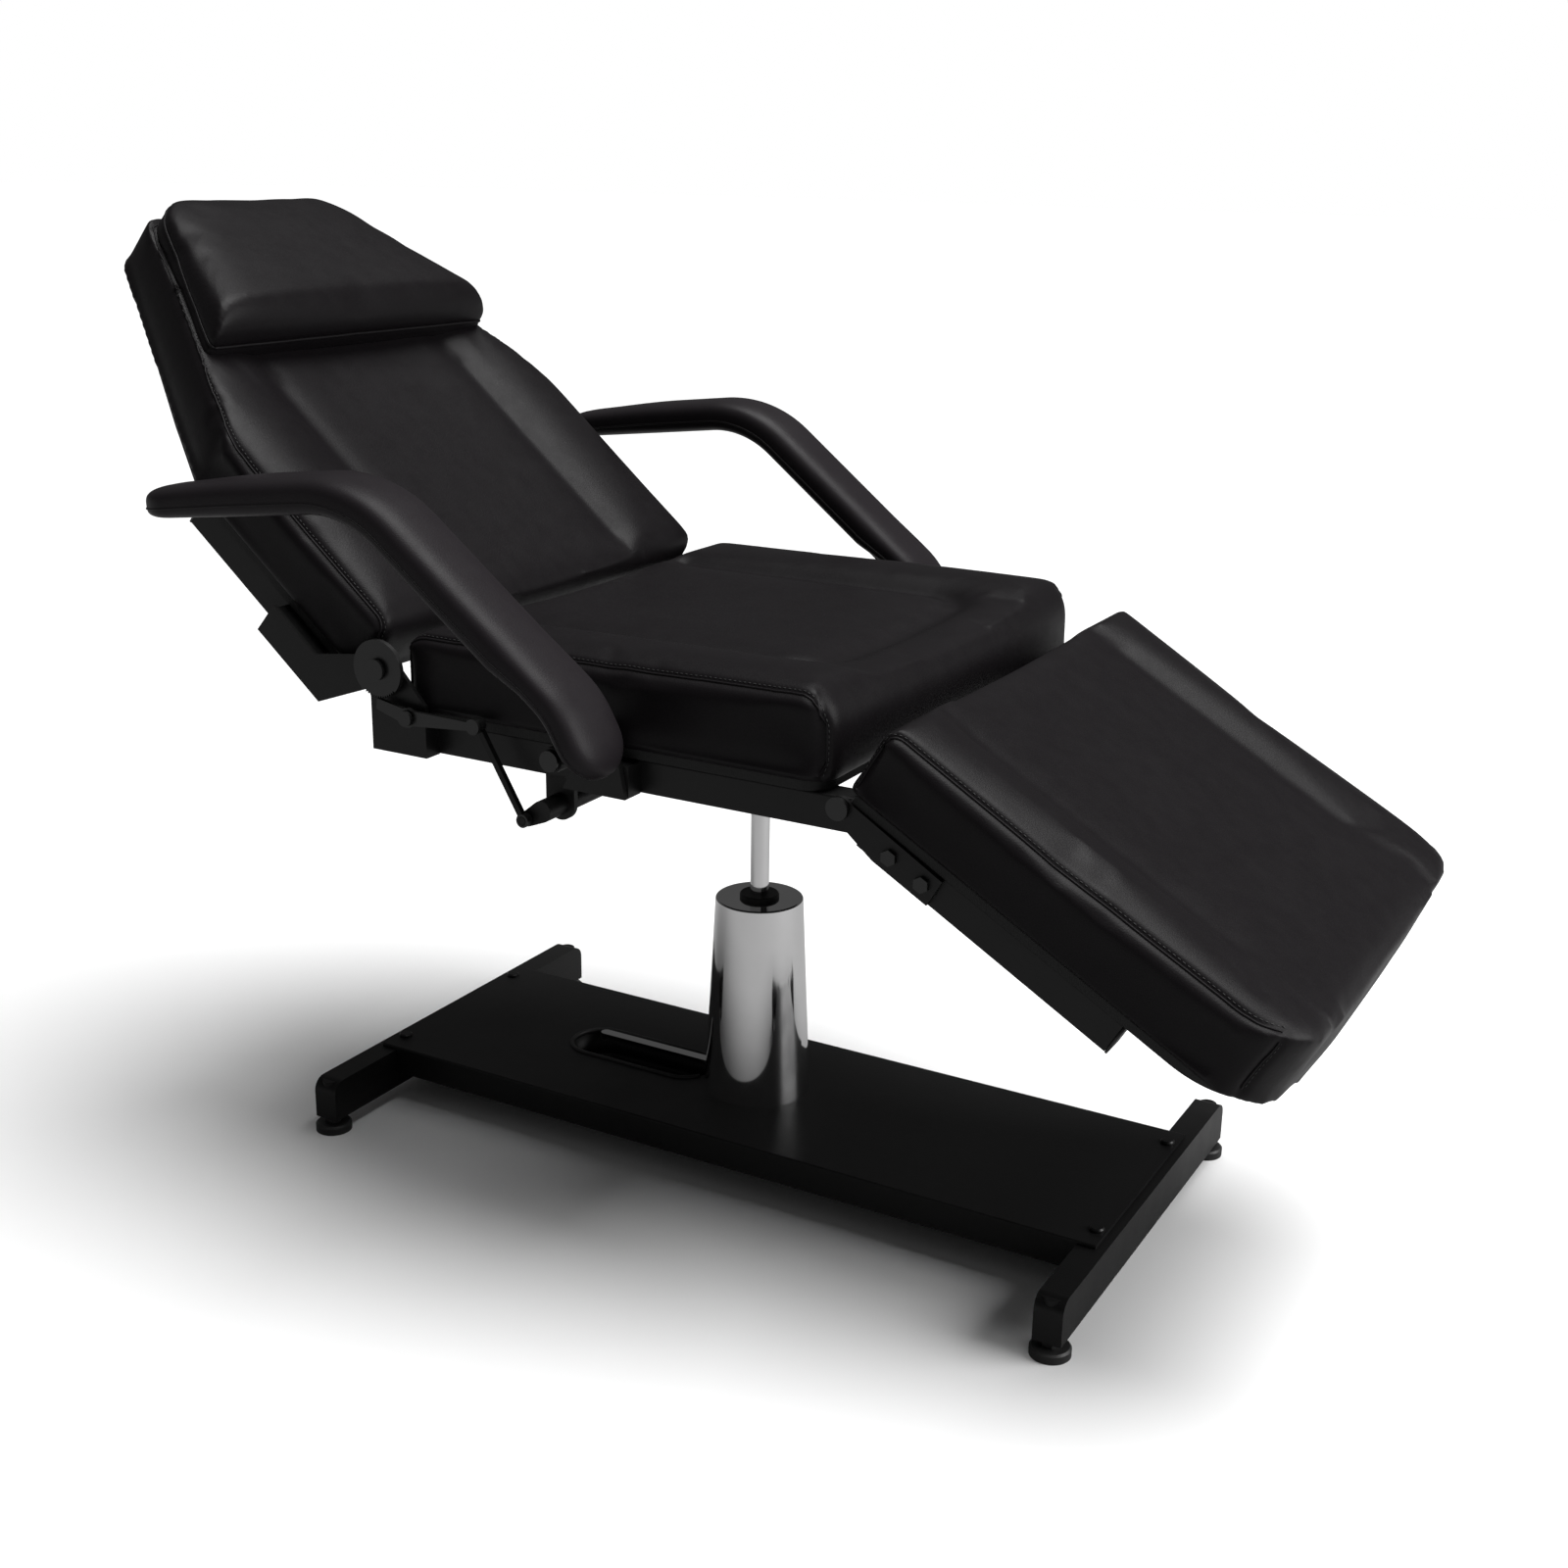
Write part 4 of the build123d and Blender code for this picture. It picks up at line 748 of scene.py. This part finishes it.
# What the three large cushions share: how they are padded and sewn
sewnPad = {
    "voxel": 0.0065, "smoothing": 3, "shrink": 0.0035, "pressure": 4.0, "bending": 6.0,
    "frames": 20, "most": 0.011, "seamDepth": 0.0022, "seamWidth": 0.005, "seamLift": 0.0002,
    "seamRadius": 0.0011, "seamInset": 0.0062, "seamFoot": 0.006, "seamStep": 0.006,
    "stitchGap": 0.0055,
}

# Seat cushion
seatPad = {
    **sewnPad, "fill": 0.75, "creaseDepth": 0.009, "creaseWidth": 0.016, "crease": 0.18,
    "corners": [
        (0.24, -0.3, 1, 0.03), (0.24, 0.3, 1, 0.03),
        (-0.25, -0.3, -1, 0.014), (-0.25, 0.3, -1, 0.014),
    ],
    "rear": -0.25, "front": 0.24, "half": 0.3, "base": 0.546, "rearTop": 0.631,
    "frontTop": 0.640, "rearRoll": 0.032, "frontRoll": 0.045,
}


def noHold(points):
    return np.zeros(len(points))


def seatCreases(values):  # one sewn channel round the sitting area, open towards the backrest
    ahead, side, turn = values["front"] - 0.082, values["crease"], 0.045
    corner = arcPoints((ahead - turn, side - turn), turn, 90, 0, 6)
    half = [(values["rear"] + 0.04, side)] + corner + [(ahead, 0)]
    return [half + [(x, -y) for x, y in reversed(half[:-1])]]


def seatSeams(values):
    guides = []
    for hand in (-1, 1):
        inset = values["seamInset"]
        y = hand * (values["half"] - inset)
        rear = (values["rear"] + values["rearRoll"], values["rearTop"] - values["rearRoll"])
        front = (values["front"] - values["frontRoll"], values["frontTop"] - values["frontRoll"])
        rearArc = arcPoints(rear, values["rearRoll"] - inset, 180, 95, 8)
        frontArc = arcPoints(front, values["frontRoll"] - inset, 90, 0, 10)
        foot = values["base"] + values["seamFoot"]
        run = [(values["rear"] + inset, foot)] + rearArc + frontArc
        run += [(values["front"] - inset, foot)]
        guides.append(evenly([(x, y, z) for x, z in run], values["seamStep"]))
    return guides


makePad(
    "seatCushion", "seat_cushion", seatLay, seatPad, seatCreases(seatPad), noHold,
    seatSeams(seatPad), "seat",
)

# Backrest cushion
backPad = {
    **sewnPad, "fill": 0.7, "creaseDepth": 0.003, "creaseWidth": 0.014, "crease": 0.16,
    "corners": [(0, -0.3, -1, 0.016), (0, 0.3, -1, 0.016)],
    "half": 0.3, "shoulder": (0.363, 0.255), "footRoll": 0.03, "depth": 0.08, "pillowStart": 0.378,
}


def backHeld(points):
    values = backPad
    underPillow = (points[:, 0] > values["pillowStart"] + 0.012) & (points[:, 2] > -0.012)
    inner = np.abs(points[:, 1]) < 0.235 - (points[:, 0] - values["pillowStart"]) * 0.47
    return (underPillow & inner).astype(float)


def backSeams(values):
    inset, roll = values["seamInset"], values["footRoll"]
    run = [(inset, values["seamFoot"] - values["depth"]), (inset, -roll)]
    run += arcPoints((roll, -roll), roll - inset, 180, 100, 6)
    guide = [(x, values["half"] - inset, z) for x, z in run]
    plan = [
        (0.05, 0.3), (0.235, 0.3), (0.262, 0.297), (0.290, 0.2885), values["shoulder"],
        (0.57, 0.157), (0.585, 0.147), (0.597, 0.130), (0.603, 0.112), (0.604, inset),
    ]
    guide += [(x - inset * (x > 0.59), y - inset, -inset) for x, y in plan]
    farSide = [(x, -y, z) for x, y, z in reversed(guide[:-1])]
    return [evenly(guide + farSide, values["seamStep"])]


backCreases = [[(0.05, y), (0.33, y)] for y in (-backPad["crease"], backPad["crease"])]
makePad(
    "backCushion", "back_cushion", backLay, backPad, backCreases, backHeld, backSeams(backPad),
    "backrest",
)

# Head pillow: a wedge, flat on top, with upright sides and a thick roll towards the sitter
pillowPad = {
    "voxel": 0.0045, "smoothing": 3, "shrink": 0.002, "pressure": 3.5, "bending": 7.0,
    "frames": 20, "most": 0.006, "settle": 14, "fill": 0.8, "seamDepth": 0.0014,
    "seamWidth": 0.004, "seamLift": 0.0004, "seamRadius": 0.0016, "seamStep": 0.005,
    "stitchGap": 0.005,
    "start": 0.377, "end": 0.603, "halfStart": 0.240, "halfEnd": 0.138, "startCorner": 0.014,
    "endCorner": 0.044, "peak": 0.050, "endHeight": 0.018, "roll": 0.036, "endRoll": 0.012,
    "boxy": 9.0, "crown": 0.003, "sunk": 0.018, "endSunk": 0.028, "seamHeight": 0.007,
    "lean": 0.006, "rings": 60, "around": 96,
}


def roundedOff(distance, radius):  # how far an edge has grown at a distance from a round end
    share = min(max(distance / radius, 0), 1)
    return math.sqrt(1 - (1 - share) ** 2)


def pillowHalf(values, x):
    share = (x - values["start"]) / (values["end"] - values["start"])
    half = values["halfStart"] + (values["halfEnd"] - values["halfStart"]) * share
    half -= values["startCorner"] * (1 - roundedOff(x - values["start"], values["startCorner"]))
    return half - values["endCorner"] * (1 - roundedOff(values["end"] - x, values["endCorner"]))


def pillowShape(values):
    length = values["end"] - values["start"]
    work = bmesh.new()
    rings = []
    for i in range(values["rings"] + 1):  # closer together towards both ends
        away = length * (1 - math.cos(math.pi * (0.008 + 0.984 * i / values["rings"]))) / 2
        half = pillowHalf(values, values["start"] + away)
        share = max(0, away - values["roll"]) / (length - values["roll"])
        height = values["peak"] + (values["endHeight"] - values["peak"]) * share
        height *= roundedOff(away, values["roll"]) * roundedOff(length - away, values["endRoll"])
        sunk = values["sunk"] + (values["endSunk"] - values["sunk"]) * max(0, share * 4 - 3)
        ring = []
        for k in range(values["around"]):
            turn = 2 * math.pi * (k + 0.5) / values["around"]
            across, rise = math.cos(turn), math.sin(turn)
            y = half * math.copysign(abs(across) ** (2 / values["boxy"]), across)
            grown = abs(rise) ** (2 / values["boxy"])
            z = grown * (height + values["crown"] * (1 - (y / half) ** 2) if rise > 0 else -sunk)
            y *= 1 - values["lean"] / half * max(0, z) / values["peak"]
            ring.append(work.verts.new((values["start"] + away, y, z)))
        rings.append(ring)
    for low, high in zip(rings[:-1], rings[1:]):
        bandFaces(work, low, high)
    work.faces.new(rings[0])
    work.faces.new(list(reversed(rings[-1])))
    return meshFrom("pillowWedge", work)


def pillowSeams(values):
    steps = np.linspace(values["start"] + 0.001, values["end"] - 0.001, 60)
    side = [(x, pillowHalf(values, x), values["seamHeight"]) for x in steps]
    guide = side + [(x, -y, z) for x, y, z in reversed(side)] + [side[0]]
    return [evenly(guide, values["seamStep"])]


makePad(
    "headPillow", "head_pillow", backLay, pillowPad, [], noHold, pillowSeams(pillowPad), "backrest",
    pillowShape(pillowPad),
)

# Leg rest cushion
legPad = {
    **sewnPad, "fill": 0.7, "creaseDepth": 0.003, "creaseWidth": 0.014, "crease": 0.195,
    "corners": [(0.009, -0.3, -1, 0.014), (0.009, 0.3, -1, 0.014)],
    "start": 0.009, "length": 0.480, "half": 0.3, "depth": 0.085, "roll": 0.026,
    "corner": 0.08, "bow": 0.018,
}


def legSeams(values):
    guides = []
    for hand in (-1, 1):
        inset = values["seamInset"]
        side = values["half"] - inset
        foot = values["seamFoot"] - values["depth"]
        run = [(values["start"] + inset, foot)]
        run += arcPoints(
            (values["start"] + values["roll"], -values["roll"]), values["roll"] - inset, 180, 95, 6
        )
        guide = [(x, hand * side, z) for x, z in run]
        end = values["length"] - values["bow"] - values["corner"]
        guide.append((end, hand * side, -inset))
        for x, y in arcPoints((end, side - values["corner"]), values["corner"], 90, 50, 6):
            guide.append((x, hand * y, -inset - (x - end) * 0.1))
        x, y, _ = guide[-1]
        guide += [(x, y, -0.03), (x, y, foot)]
        guides.append(evenly(guide, values["seamStep"]))
    return guides


legCreases = [[(0.06, y), (0.35, y)] for y in (-legPad["crease"], legPad["crease"])]
makePad(
    "legCushion", "leg_cushion", legLay, legPad, legCreases, noHold, legSeams(legPad), "leg_rest",
)

# Armrest pads: moulded round the bent arm, crowned on top, with a round tip and a tongue-shaped end
armPad = {
    "tip": (-0.497, 0.734), "bend": (-0.222, 0.767), "knee": (-0.001, 0.595), "end": (0.033, 0.535),
    "bendRadius": 0.12, "kneeRadius": 0.07, "middle": 0.366, "half": 0.040, "tipHalf": 0.034,
    "thick": 0.031, "tipThick": 0.025, "edge": 0.4, "gap": 0.0005, "tipRound": 0.040,
    "endRound": 0.039, "step": 0.005, "around": 48, "crown": 3.2, "fill": 0.85,
    "seamRadius": 0.0012, "under": 0.0068, "bareEnd": 0.10,
}


def roundedRoute(corners, radii, step):  # a bent line with rounded corners, in the side view
    route = [np.array(corners[0])]
    for i, radius in enumerate(radii):
        before, corner, after = (np.array(c) for c in corners[i:i + 3])
        back = (before - corner) / np.linalg.norm(before - corner)
        ahead = (after - corner) / np.linalg.norm(after - corner)
        half = math.acos(float(back @ ahead)) / 2
        middle = (back + ahead) / np.linalg.norm(back + ahead)
        centre = corner + middle * radius / math.sin(half)
        first = corner + back * radius / math.tan(half) - centre
        last = corner + ahead * radius / math.tan(half) - centre
        turn = math.pi - 2 * half
        count = max(2, round(radius * turn / step))
        for k in range(count + 1):
            share = k / count
            swing = math.sin((1 - share) * turn) * first + math.sin(share * turn) * last
            route.append(centre + swing / math.sin(turn))
    route.append(np.array(corners[-1]))
    return route


def spotOn(route, distance):  # place and heading at a distance along a line
    for start, end in zip(route[:-1], route[1:]):
        run = end - start
        reach = float(np.linalg.norm(run))
        if distance <= reach:
            return start + run * distance / reach, run / reach
        distance -= reach
    return route[-1], (route[-1] - route[-2]) / np.linalg.norm(route[-1] - route[-2])


def armShape(name, hand, values):
    corners = [values["tip"], values["bend"], values["knee"], values["end"]]
    radii = [values["bendRadius"], values["kneeRadius"]]
    route = evenly(roundedRoute(corners, radii, 0.004), 0.0015)
    whole = sum(float(np.linalg.norm(b - a)) for a, b in zip(route[:-1], route[1:]))
    tipRound, endRound = values["tipRound"], values["endRound"]
    turns = [math.radians(4 + 86 * i / 12) for i in range(13)]
    places = [(tipRound * (1 - math.cos(t)), math.sin(t)) for t in turns]
    count = round((whole - tipRound - endRound) / values["step"])
    for i in range(1, count):
        places.append((tipRound + (whole - tipRound - endRound) * i / count, 1.0))
    places += [(whole - endRound * (1 - math.cos(t)), math.sin(t)) for t in reversed(turns)]
    work = bmesh.new()
    rings, seams = [], ([], [])
    for distance, roundness in places:
        spot, ahead = spotOn(route, distance)
        up = np.array((-ahead[1], ahead[0]))
        grown = min(1.0, distance / 0.16)
        grown = grown * grown * (3 - 2 * grown)
        half = (values["tipHalf"] + (values["half"] - values["tipHalf"]) * grown) * roundness
        thick = values["tipThick"] + (values["thick"] - values["tipThick"]) * grown
        wrapped = min(max((whole - values["bareEnd"] - distance) / 0.04, 0), 1)
        low = values["gap"] - (values["gap"] + values["under"]) * wrapped
        edge = low + (thick - low) * values["edge"]
        close = roundness ** 0.75
        ring = []
        for k in range(values["around"]):
            turn = 2 * math.pi * k / values["around"]
            across, rise = math.cos(turn), math.sin(turn)
            bend = 2 / (values["crown"] if rise >= 0 else 4.5)
            y = half * math.copysign(abs(across) ** bend, across)
            if rise >= 0:
                z = edge + (thick - edge) * rise ** (2 / values["crown"])
            else:
                z = edge - (edge - low) * (-rise) ** (2 / 3.2)
            z = edge + (z - edge) * close
            place = spot + up * z
            ring.append((pumpX + place[0], hand * values["middle"] + y, place[1]))
        rings.append([work.verts.new(p) for p in ring])
        if roundness > 0.35:
            for side, line in zip((1, -1), seams):
                place = spot + up * (edge - 0.002)
                y = hand * values["middle"] + side * (half - 0.0002)
                line.append((
                    np.array((pumpX + place[0], y, place[1])), np.array((0.0, float(side), 0.0)),
                ))
    for low, high in zip(rings[:-1], rings[1:]):
        bandFaces(work, low, high)
    for ring in (rings[0], rings[-1]):
        centre = work.verts.new(sum((v.co for v in ring), Vector()) / len(ring))
        for k in range(len(ring)):
            work.faces.new((ring[k], ring[(k + 1) % len(ring)], centre))
    return meshFrom(name, work), [([p for p, _ in line], [n for _, n in line]) for line in seams]


for side, hand in (("Right", -1), ("Left", 1)):
    body = "armrest_" + side.lower()
    mesh, seams = armShape("armPad" + side, hand, armPad)
    pad = newPiece("armPad" + side, mesh, armVinyl, body)
    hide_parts("armrest_pad_" + side.lower())
    tubeAlong("armPad" + side + "Seam", seams, armPad["seamRadius"], seamVinyl, body)
print("armrest pads done")

# Pressed tray under the deck's opening, into which the foot lever goes down, and its rubber edging;
# the black tray is painted shade that hides the floor seen through the opening, which lies in the
# deck's shadow
shadeTrayValues = {
    "middle": -0.156, "length": 0.188, "width": 0.070, "edging": 0.0028, "floor": 7,
    "profile": [
        (0.0, 0.0639), (0.010, 0.0639), (0.010, 0.0629), (0.003, 0.0629), (0.0015, 0.0615),
        (0.0015, 0.0385), (-0.0015, 0.0345), (-0.005, 0.0335), (-0.005, 0.0350), (-0.0008, 0.0365),
        (0.0, 0.0395),
    ],
}


def oblongRing(values, offset, height, count=20):
    radius = values["width"] / 2 + offset
    reach = (values["length"] - values["width"]) / 2
    front = arcPoints((values["middle"] + reach, 0), radius, -90, 90, count)
    rear = arcPoints((values["middle"] - reach, 0), radius, 90, 270, count)
    return [(pumpX + x, y, height) for x, y in front + rear]


def shadeTrayShape(values):
    work = bmesh.new()
    rings = [[work.verts.new(p) for p in oblongRing(values, o, z)] for o, z in values["profile"]]
    for low, high in zip(rings, rings[1:] + rings[:1]):
        if low is not rings[values["floor"]]:
            bandFaces(work, low, high)
    work.faces.new(rings[values["floor"]])  # the tray's floor, seen from above
    work.faces.new(rings[values["floor"] + 1])  # and from below
    return meshFrom("leverTray", work)


# painted shade: the black tray stands in for the shadow under the deck
newPiece("leverTray", shadeTrayShape(shadeTrayValues), finishes["frame_paint"], "base")
edging = oblongRing(shadeTrayValues, 0.0, 0.0682, 24)
edging = [np.array(p) for p in edging[16:] + edging[:9]]  # left open where the lever passes over it
tubeAlong(
    "openingEdging", [(edging, [np.array((0.0, 0.0, 1.0))] * len(edging))], shadeTrayValues["edging"],
    finishes["plastic"], "base",
)

# Under the boards: the cover's folded edge with its staples
hemValues = {"wide": 0.008, "flat": 0.09, "stapleStep": 0.028, "stapleSize": 0.001}


def mirrored(half):
    return half + [(x, -y) for x, y in reversed(half)]


down = np.array((0.0, 0.0, -1.0))
hems = {
    "seat": (seatLay, 0.536, [
        [(0.217, 0.245), (0.217, -0.245)], [(-0.227, 0.245), (-0.227, -0.245)],
    ]),
    "backrest": (backLay, -0.090, [
        [(0.023, 0.245), (0.023, -0.245)],
        mirrored([
            (0.285, 0.270), (0.35, 0.240), (0.45, 0.190), (0.55, 0.143), (0.572, 0.122),
            (0.580, 0.095),
        ]),
    ]),
    "leg_rest": (legLay, -0.095, [
        [(0.033, 0.245), (0.033, -0.245)],
        mirrored([
            (0.335, 0.276), (0.365, 0.276), (0.405, 0.258), (0.428, 0.225), (0.440, 0.16),
            (0.445, 0.08),
        ]),
    ]),
}
for body, (lay, height, lines) in hems.items():
    paths = []
    for line in lines:
        points = evenly([(x, y, height) for x, y in line], 0.01)
        paths.append((points, [down] * len(points)))
    paths = moved(paths, lay)
    tubeAlong(
        body + "Hem", paths, hemValues["wide"], seamVinyl, body, hemValues["flat"],
    )
    raised = [([p + n * 0.0009 for p, n in zip(line, ups)], ups) for line, ups in paths]
    rowAlong(
        body + "Staples", raised, "staple", hemValues["stapleStep"], hemValues["stapleSize"],
        finishes["steel"], body, 0.05,
    )

# Screws that hold the boards, under the rails
railScrews = {
    "seat": (seatLay, 0.502, 0.03, 0.21, 0.09),
    "backrest": (backLay, -0.124, 0.135, 0.245, 0.055),
    "leg_rest": (legLay, -0.129, 0.15, 0.28, 0.065),
}
for body, (lay, height, start, end, step) in railScrews.items():
    paths = []
    for y in (-0.27, 0.27):
        points = evenly([(start, y, height), (end, y, height)], step)
        paths.append((points, [down] * len(points)))
    rowAlong(
        body + "Screws", moved(paths, lay), "screw", step, 0.001, finishes["steel"], body,
    )

# Weld beads: cross tubes to rails, hub to its plate
weldValues = {
    "step": 0.0026, "size": 0.0042, "unevenness": 0.14, "tubeHalf": 0.015, "tubeEnd": 0.2552,
    "tubeUnder": 0.5035, "rise": 0.026, "tubes": (0.080, -0.080), "hubRadius": 0.0438,
    "hubUnder": 0.4945,
}


def tubeWelds(values, along):  # on the lower edges and the underside of a cross tube's ends
    paths = []
    low, high = values["tubeUnder"], values["tubeUnder"] + values["rise"]
    rear, front = along - values["tubeHalf"], along + values["tubeHalf"]
    for y in (-values["tubeEnd"], values["tubeEnd"]):
        points = evenly([(rear, y, high), (rear, y, low), (front, y, low), (front, y, high)], 0.002)
        inward = np.array((0.0, -math.copysign(1.0, y), -0.4))
        paths.append((points, [inward] * len(points)))
    return moved(paths, seatLay)


def hubWeld(values):  # round the hub, under the mounting plate
    ring, ups = [], []
    for turn in np.linspace(0, 2 * math.pi, 90):
        x, y = math.cos(turn), math.sin(turn)
        radius, height = values["hubRadius"], values["hubUnder"]
        ring.append(np.array((pumpX + radius * x, radius * y, height)))
        ups.append(np.array((x, y, -1.0)) / math.sqrt(2))
    return ring, ups


welds = [path for along in weldValues["tubes"] for path in tubeWelds(weldValues, along)]
rowAlong(
    "seatWelds", welds + [hubWeld(weldValues)], "drop", weldValues["step"], weldValues["size"],
    finishes["frame_paint"], "seat", weldValues["unevenness"],
)

# Caps in the open ends of the back and leg rails
capValues = {
    "wide": 0.0295, "high": 0.0335, "thick": 0.003, "edge": 0.0012, "rim": 0.004, "dish": 0.0008,
    "side": 0.27,
}


def railCaps(name, lay, body, values, end, height):
    work = bmesh.new()
    for y in (-values["side"], values["side"]):
        made = bmesh.ops.create_cube(work, size=1)["verts"]
        for v in made:
            v.co = (
                end + (v.co.x + 0.5) * values["thick"], y + v.co.y * values["wide"],
                height + v.co.z * values["high"],
            )
        outer = [
            f for f in work.faces
            if all(v in made for v in f.verts) and all(v.co.x > end + 0.001 for v in f.verts)
        ]
        bmesh.ops.inset_region(work, faces=outer, thickness=values["rim"], depth=-values["dish"])
        edges = list({e for v in made for e in v.link_edges if all(w in made for w in e.verts)})
        bmesh.ops.bevel(
            work, geom=edges, offset=values["edge"], segments=3, affect="EDGES", profile=0.5
        )
    mesh = meshFrom(name, work)
    mesh.transform(lay)
    newPiece(name, mesh, finishes["plastic"], body)


railCaps("backRailCaps", backLay, "backrest", capValues, end=0.2622, height=-0.107)
railCaps("legRailCaps", legLay, "leg_rest", capValues, end=0.3302, height=-0.112)

for shape in shapes.values():
    bpy.data.objects.remove(shape)

# Camera at the photograph's viewing angle
view = {
    "ahead": 1.0275, "side": -1.80292, "height": 1.0905, "lens": 45.73, "sensor": 36,
    "right": (0.87202475, 0.48917741, 0.01668197), "up": (-0.16234807, 0.2569183, 0.95269937),
    "back": (0.46175311, -0.83348572, 0.30345613),
}
camera = bpy.data.objects.new("photoCamera", bpy.data.cameras.new("photoCamera"))
bpy.context.scene.collection.objects.link(camera)
camera.data.lens = view["lens"]
camera.data.sensor_width = view["sensor"]
camera.data.sensor_fit = "HORIZONTAL"
camera.data.clip_end = 50
turn = Matrix((view["right"], view["up"], view["back"])).transposed().to_4x4()
place = (pumpX + view["ahead"], view["side"], view["height"])
camera.matrix_world = Matrix.Translation(place) @ turn
bpy.context.scene.camera = camera

# Floor and soft studio light
studio = {
    "floorShade": 0.97, "mirroredShade": 0.34, "floorSize": 80, "worldShade": 1.0,
    "worldLight": 0.08,
}
floorMesh = bpy.data.meshes.new("studioFloor")
half = studio["floorSize"] / 2
floorMesh.from_pydata(
    [(-half, -half, 0), (half, -half, 0), (half, half, 0), (-half, half, 0)], [], [(0, 1, 2, 3)]
)
floor = bpy.data.objects.new("studioFloor", floorMesh)
bpy.context.scene.collection.objects.link(floor)
floorFinish, bench, shader, place = startFinish("paleFloor")
seen = bench.put("ShaderNodeLightPath")["Is Camera Ray"]  # paler to the eye than in the chrome
paleness = bench.blendColours(seen, grey(studio["mirroredShade"]), grey(studio["floorShade"]))
feed(bench, shader, {"Base Color": paleness, "Roughness": 0.9})
floorMesh.materials.append(floorFinish)

world = bpy.data.worlds.new("studioAir")
world.use_nodes = True
bpy.context.scene.world = world
air = Bench(world.node_tree)
seen = air.put("ShaderNodeLightPath")["Is Camera Ray"]
strength = seen * (studio["worldShade"] - studio["worldLight"]) + studio["worldLight"]
backdrop = world.node_tree.nodes["Background"]
backdrop.inputs["Color"].default_value = (1, 1, 1, 1)
world.node_tree.links.new(strength.socket, backdrop.inputs["Strength"])

lamps = {
    "softOverhead": {
        "kind": "SUN", "place": (0.5, 0.7, 4.0), "aim": (0, 0, 0), "size": 0.8, "power": 3.6,
    },
    "keyFromFoot": {
        "kind": "AREA", "place": (3.6, 0.9, 2.1), "aim": (0, 0, 0.5), "size": 2.6, "power": 120,
    },
}
for name, lamp in lamps.items():
    light = bpy.data.lights.new(name, lamp["kind"])
    if lamp["kind"] == "SUN":
        light.angle = lamp["size"]
    else:
        light.shape = "SQUARE"
        light.size = lamp["size"]
    light.energy = lamp["power"]
    holder = bpy.data.objects.new(name, light)
    bpy.context.scene.collection.objects.link(holder)
    holder.location = lamp["place"]
    aim = Vector(lamp["aim"]) - Vector(lamp["place"])
    holder.rotation_euler = aim.to_track_quat("-Z", "Y").to_euler()
bpy.context.scene.view_settings.view_transform = "Standard"
print("camera, floor and lights set")
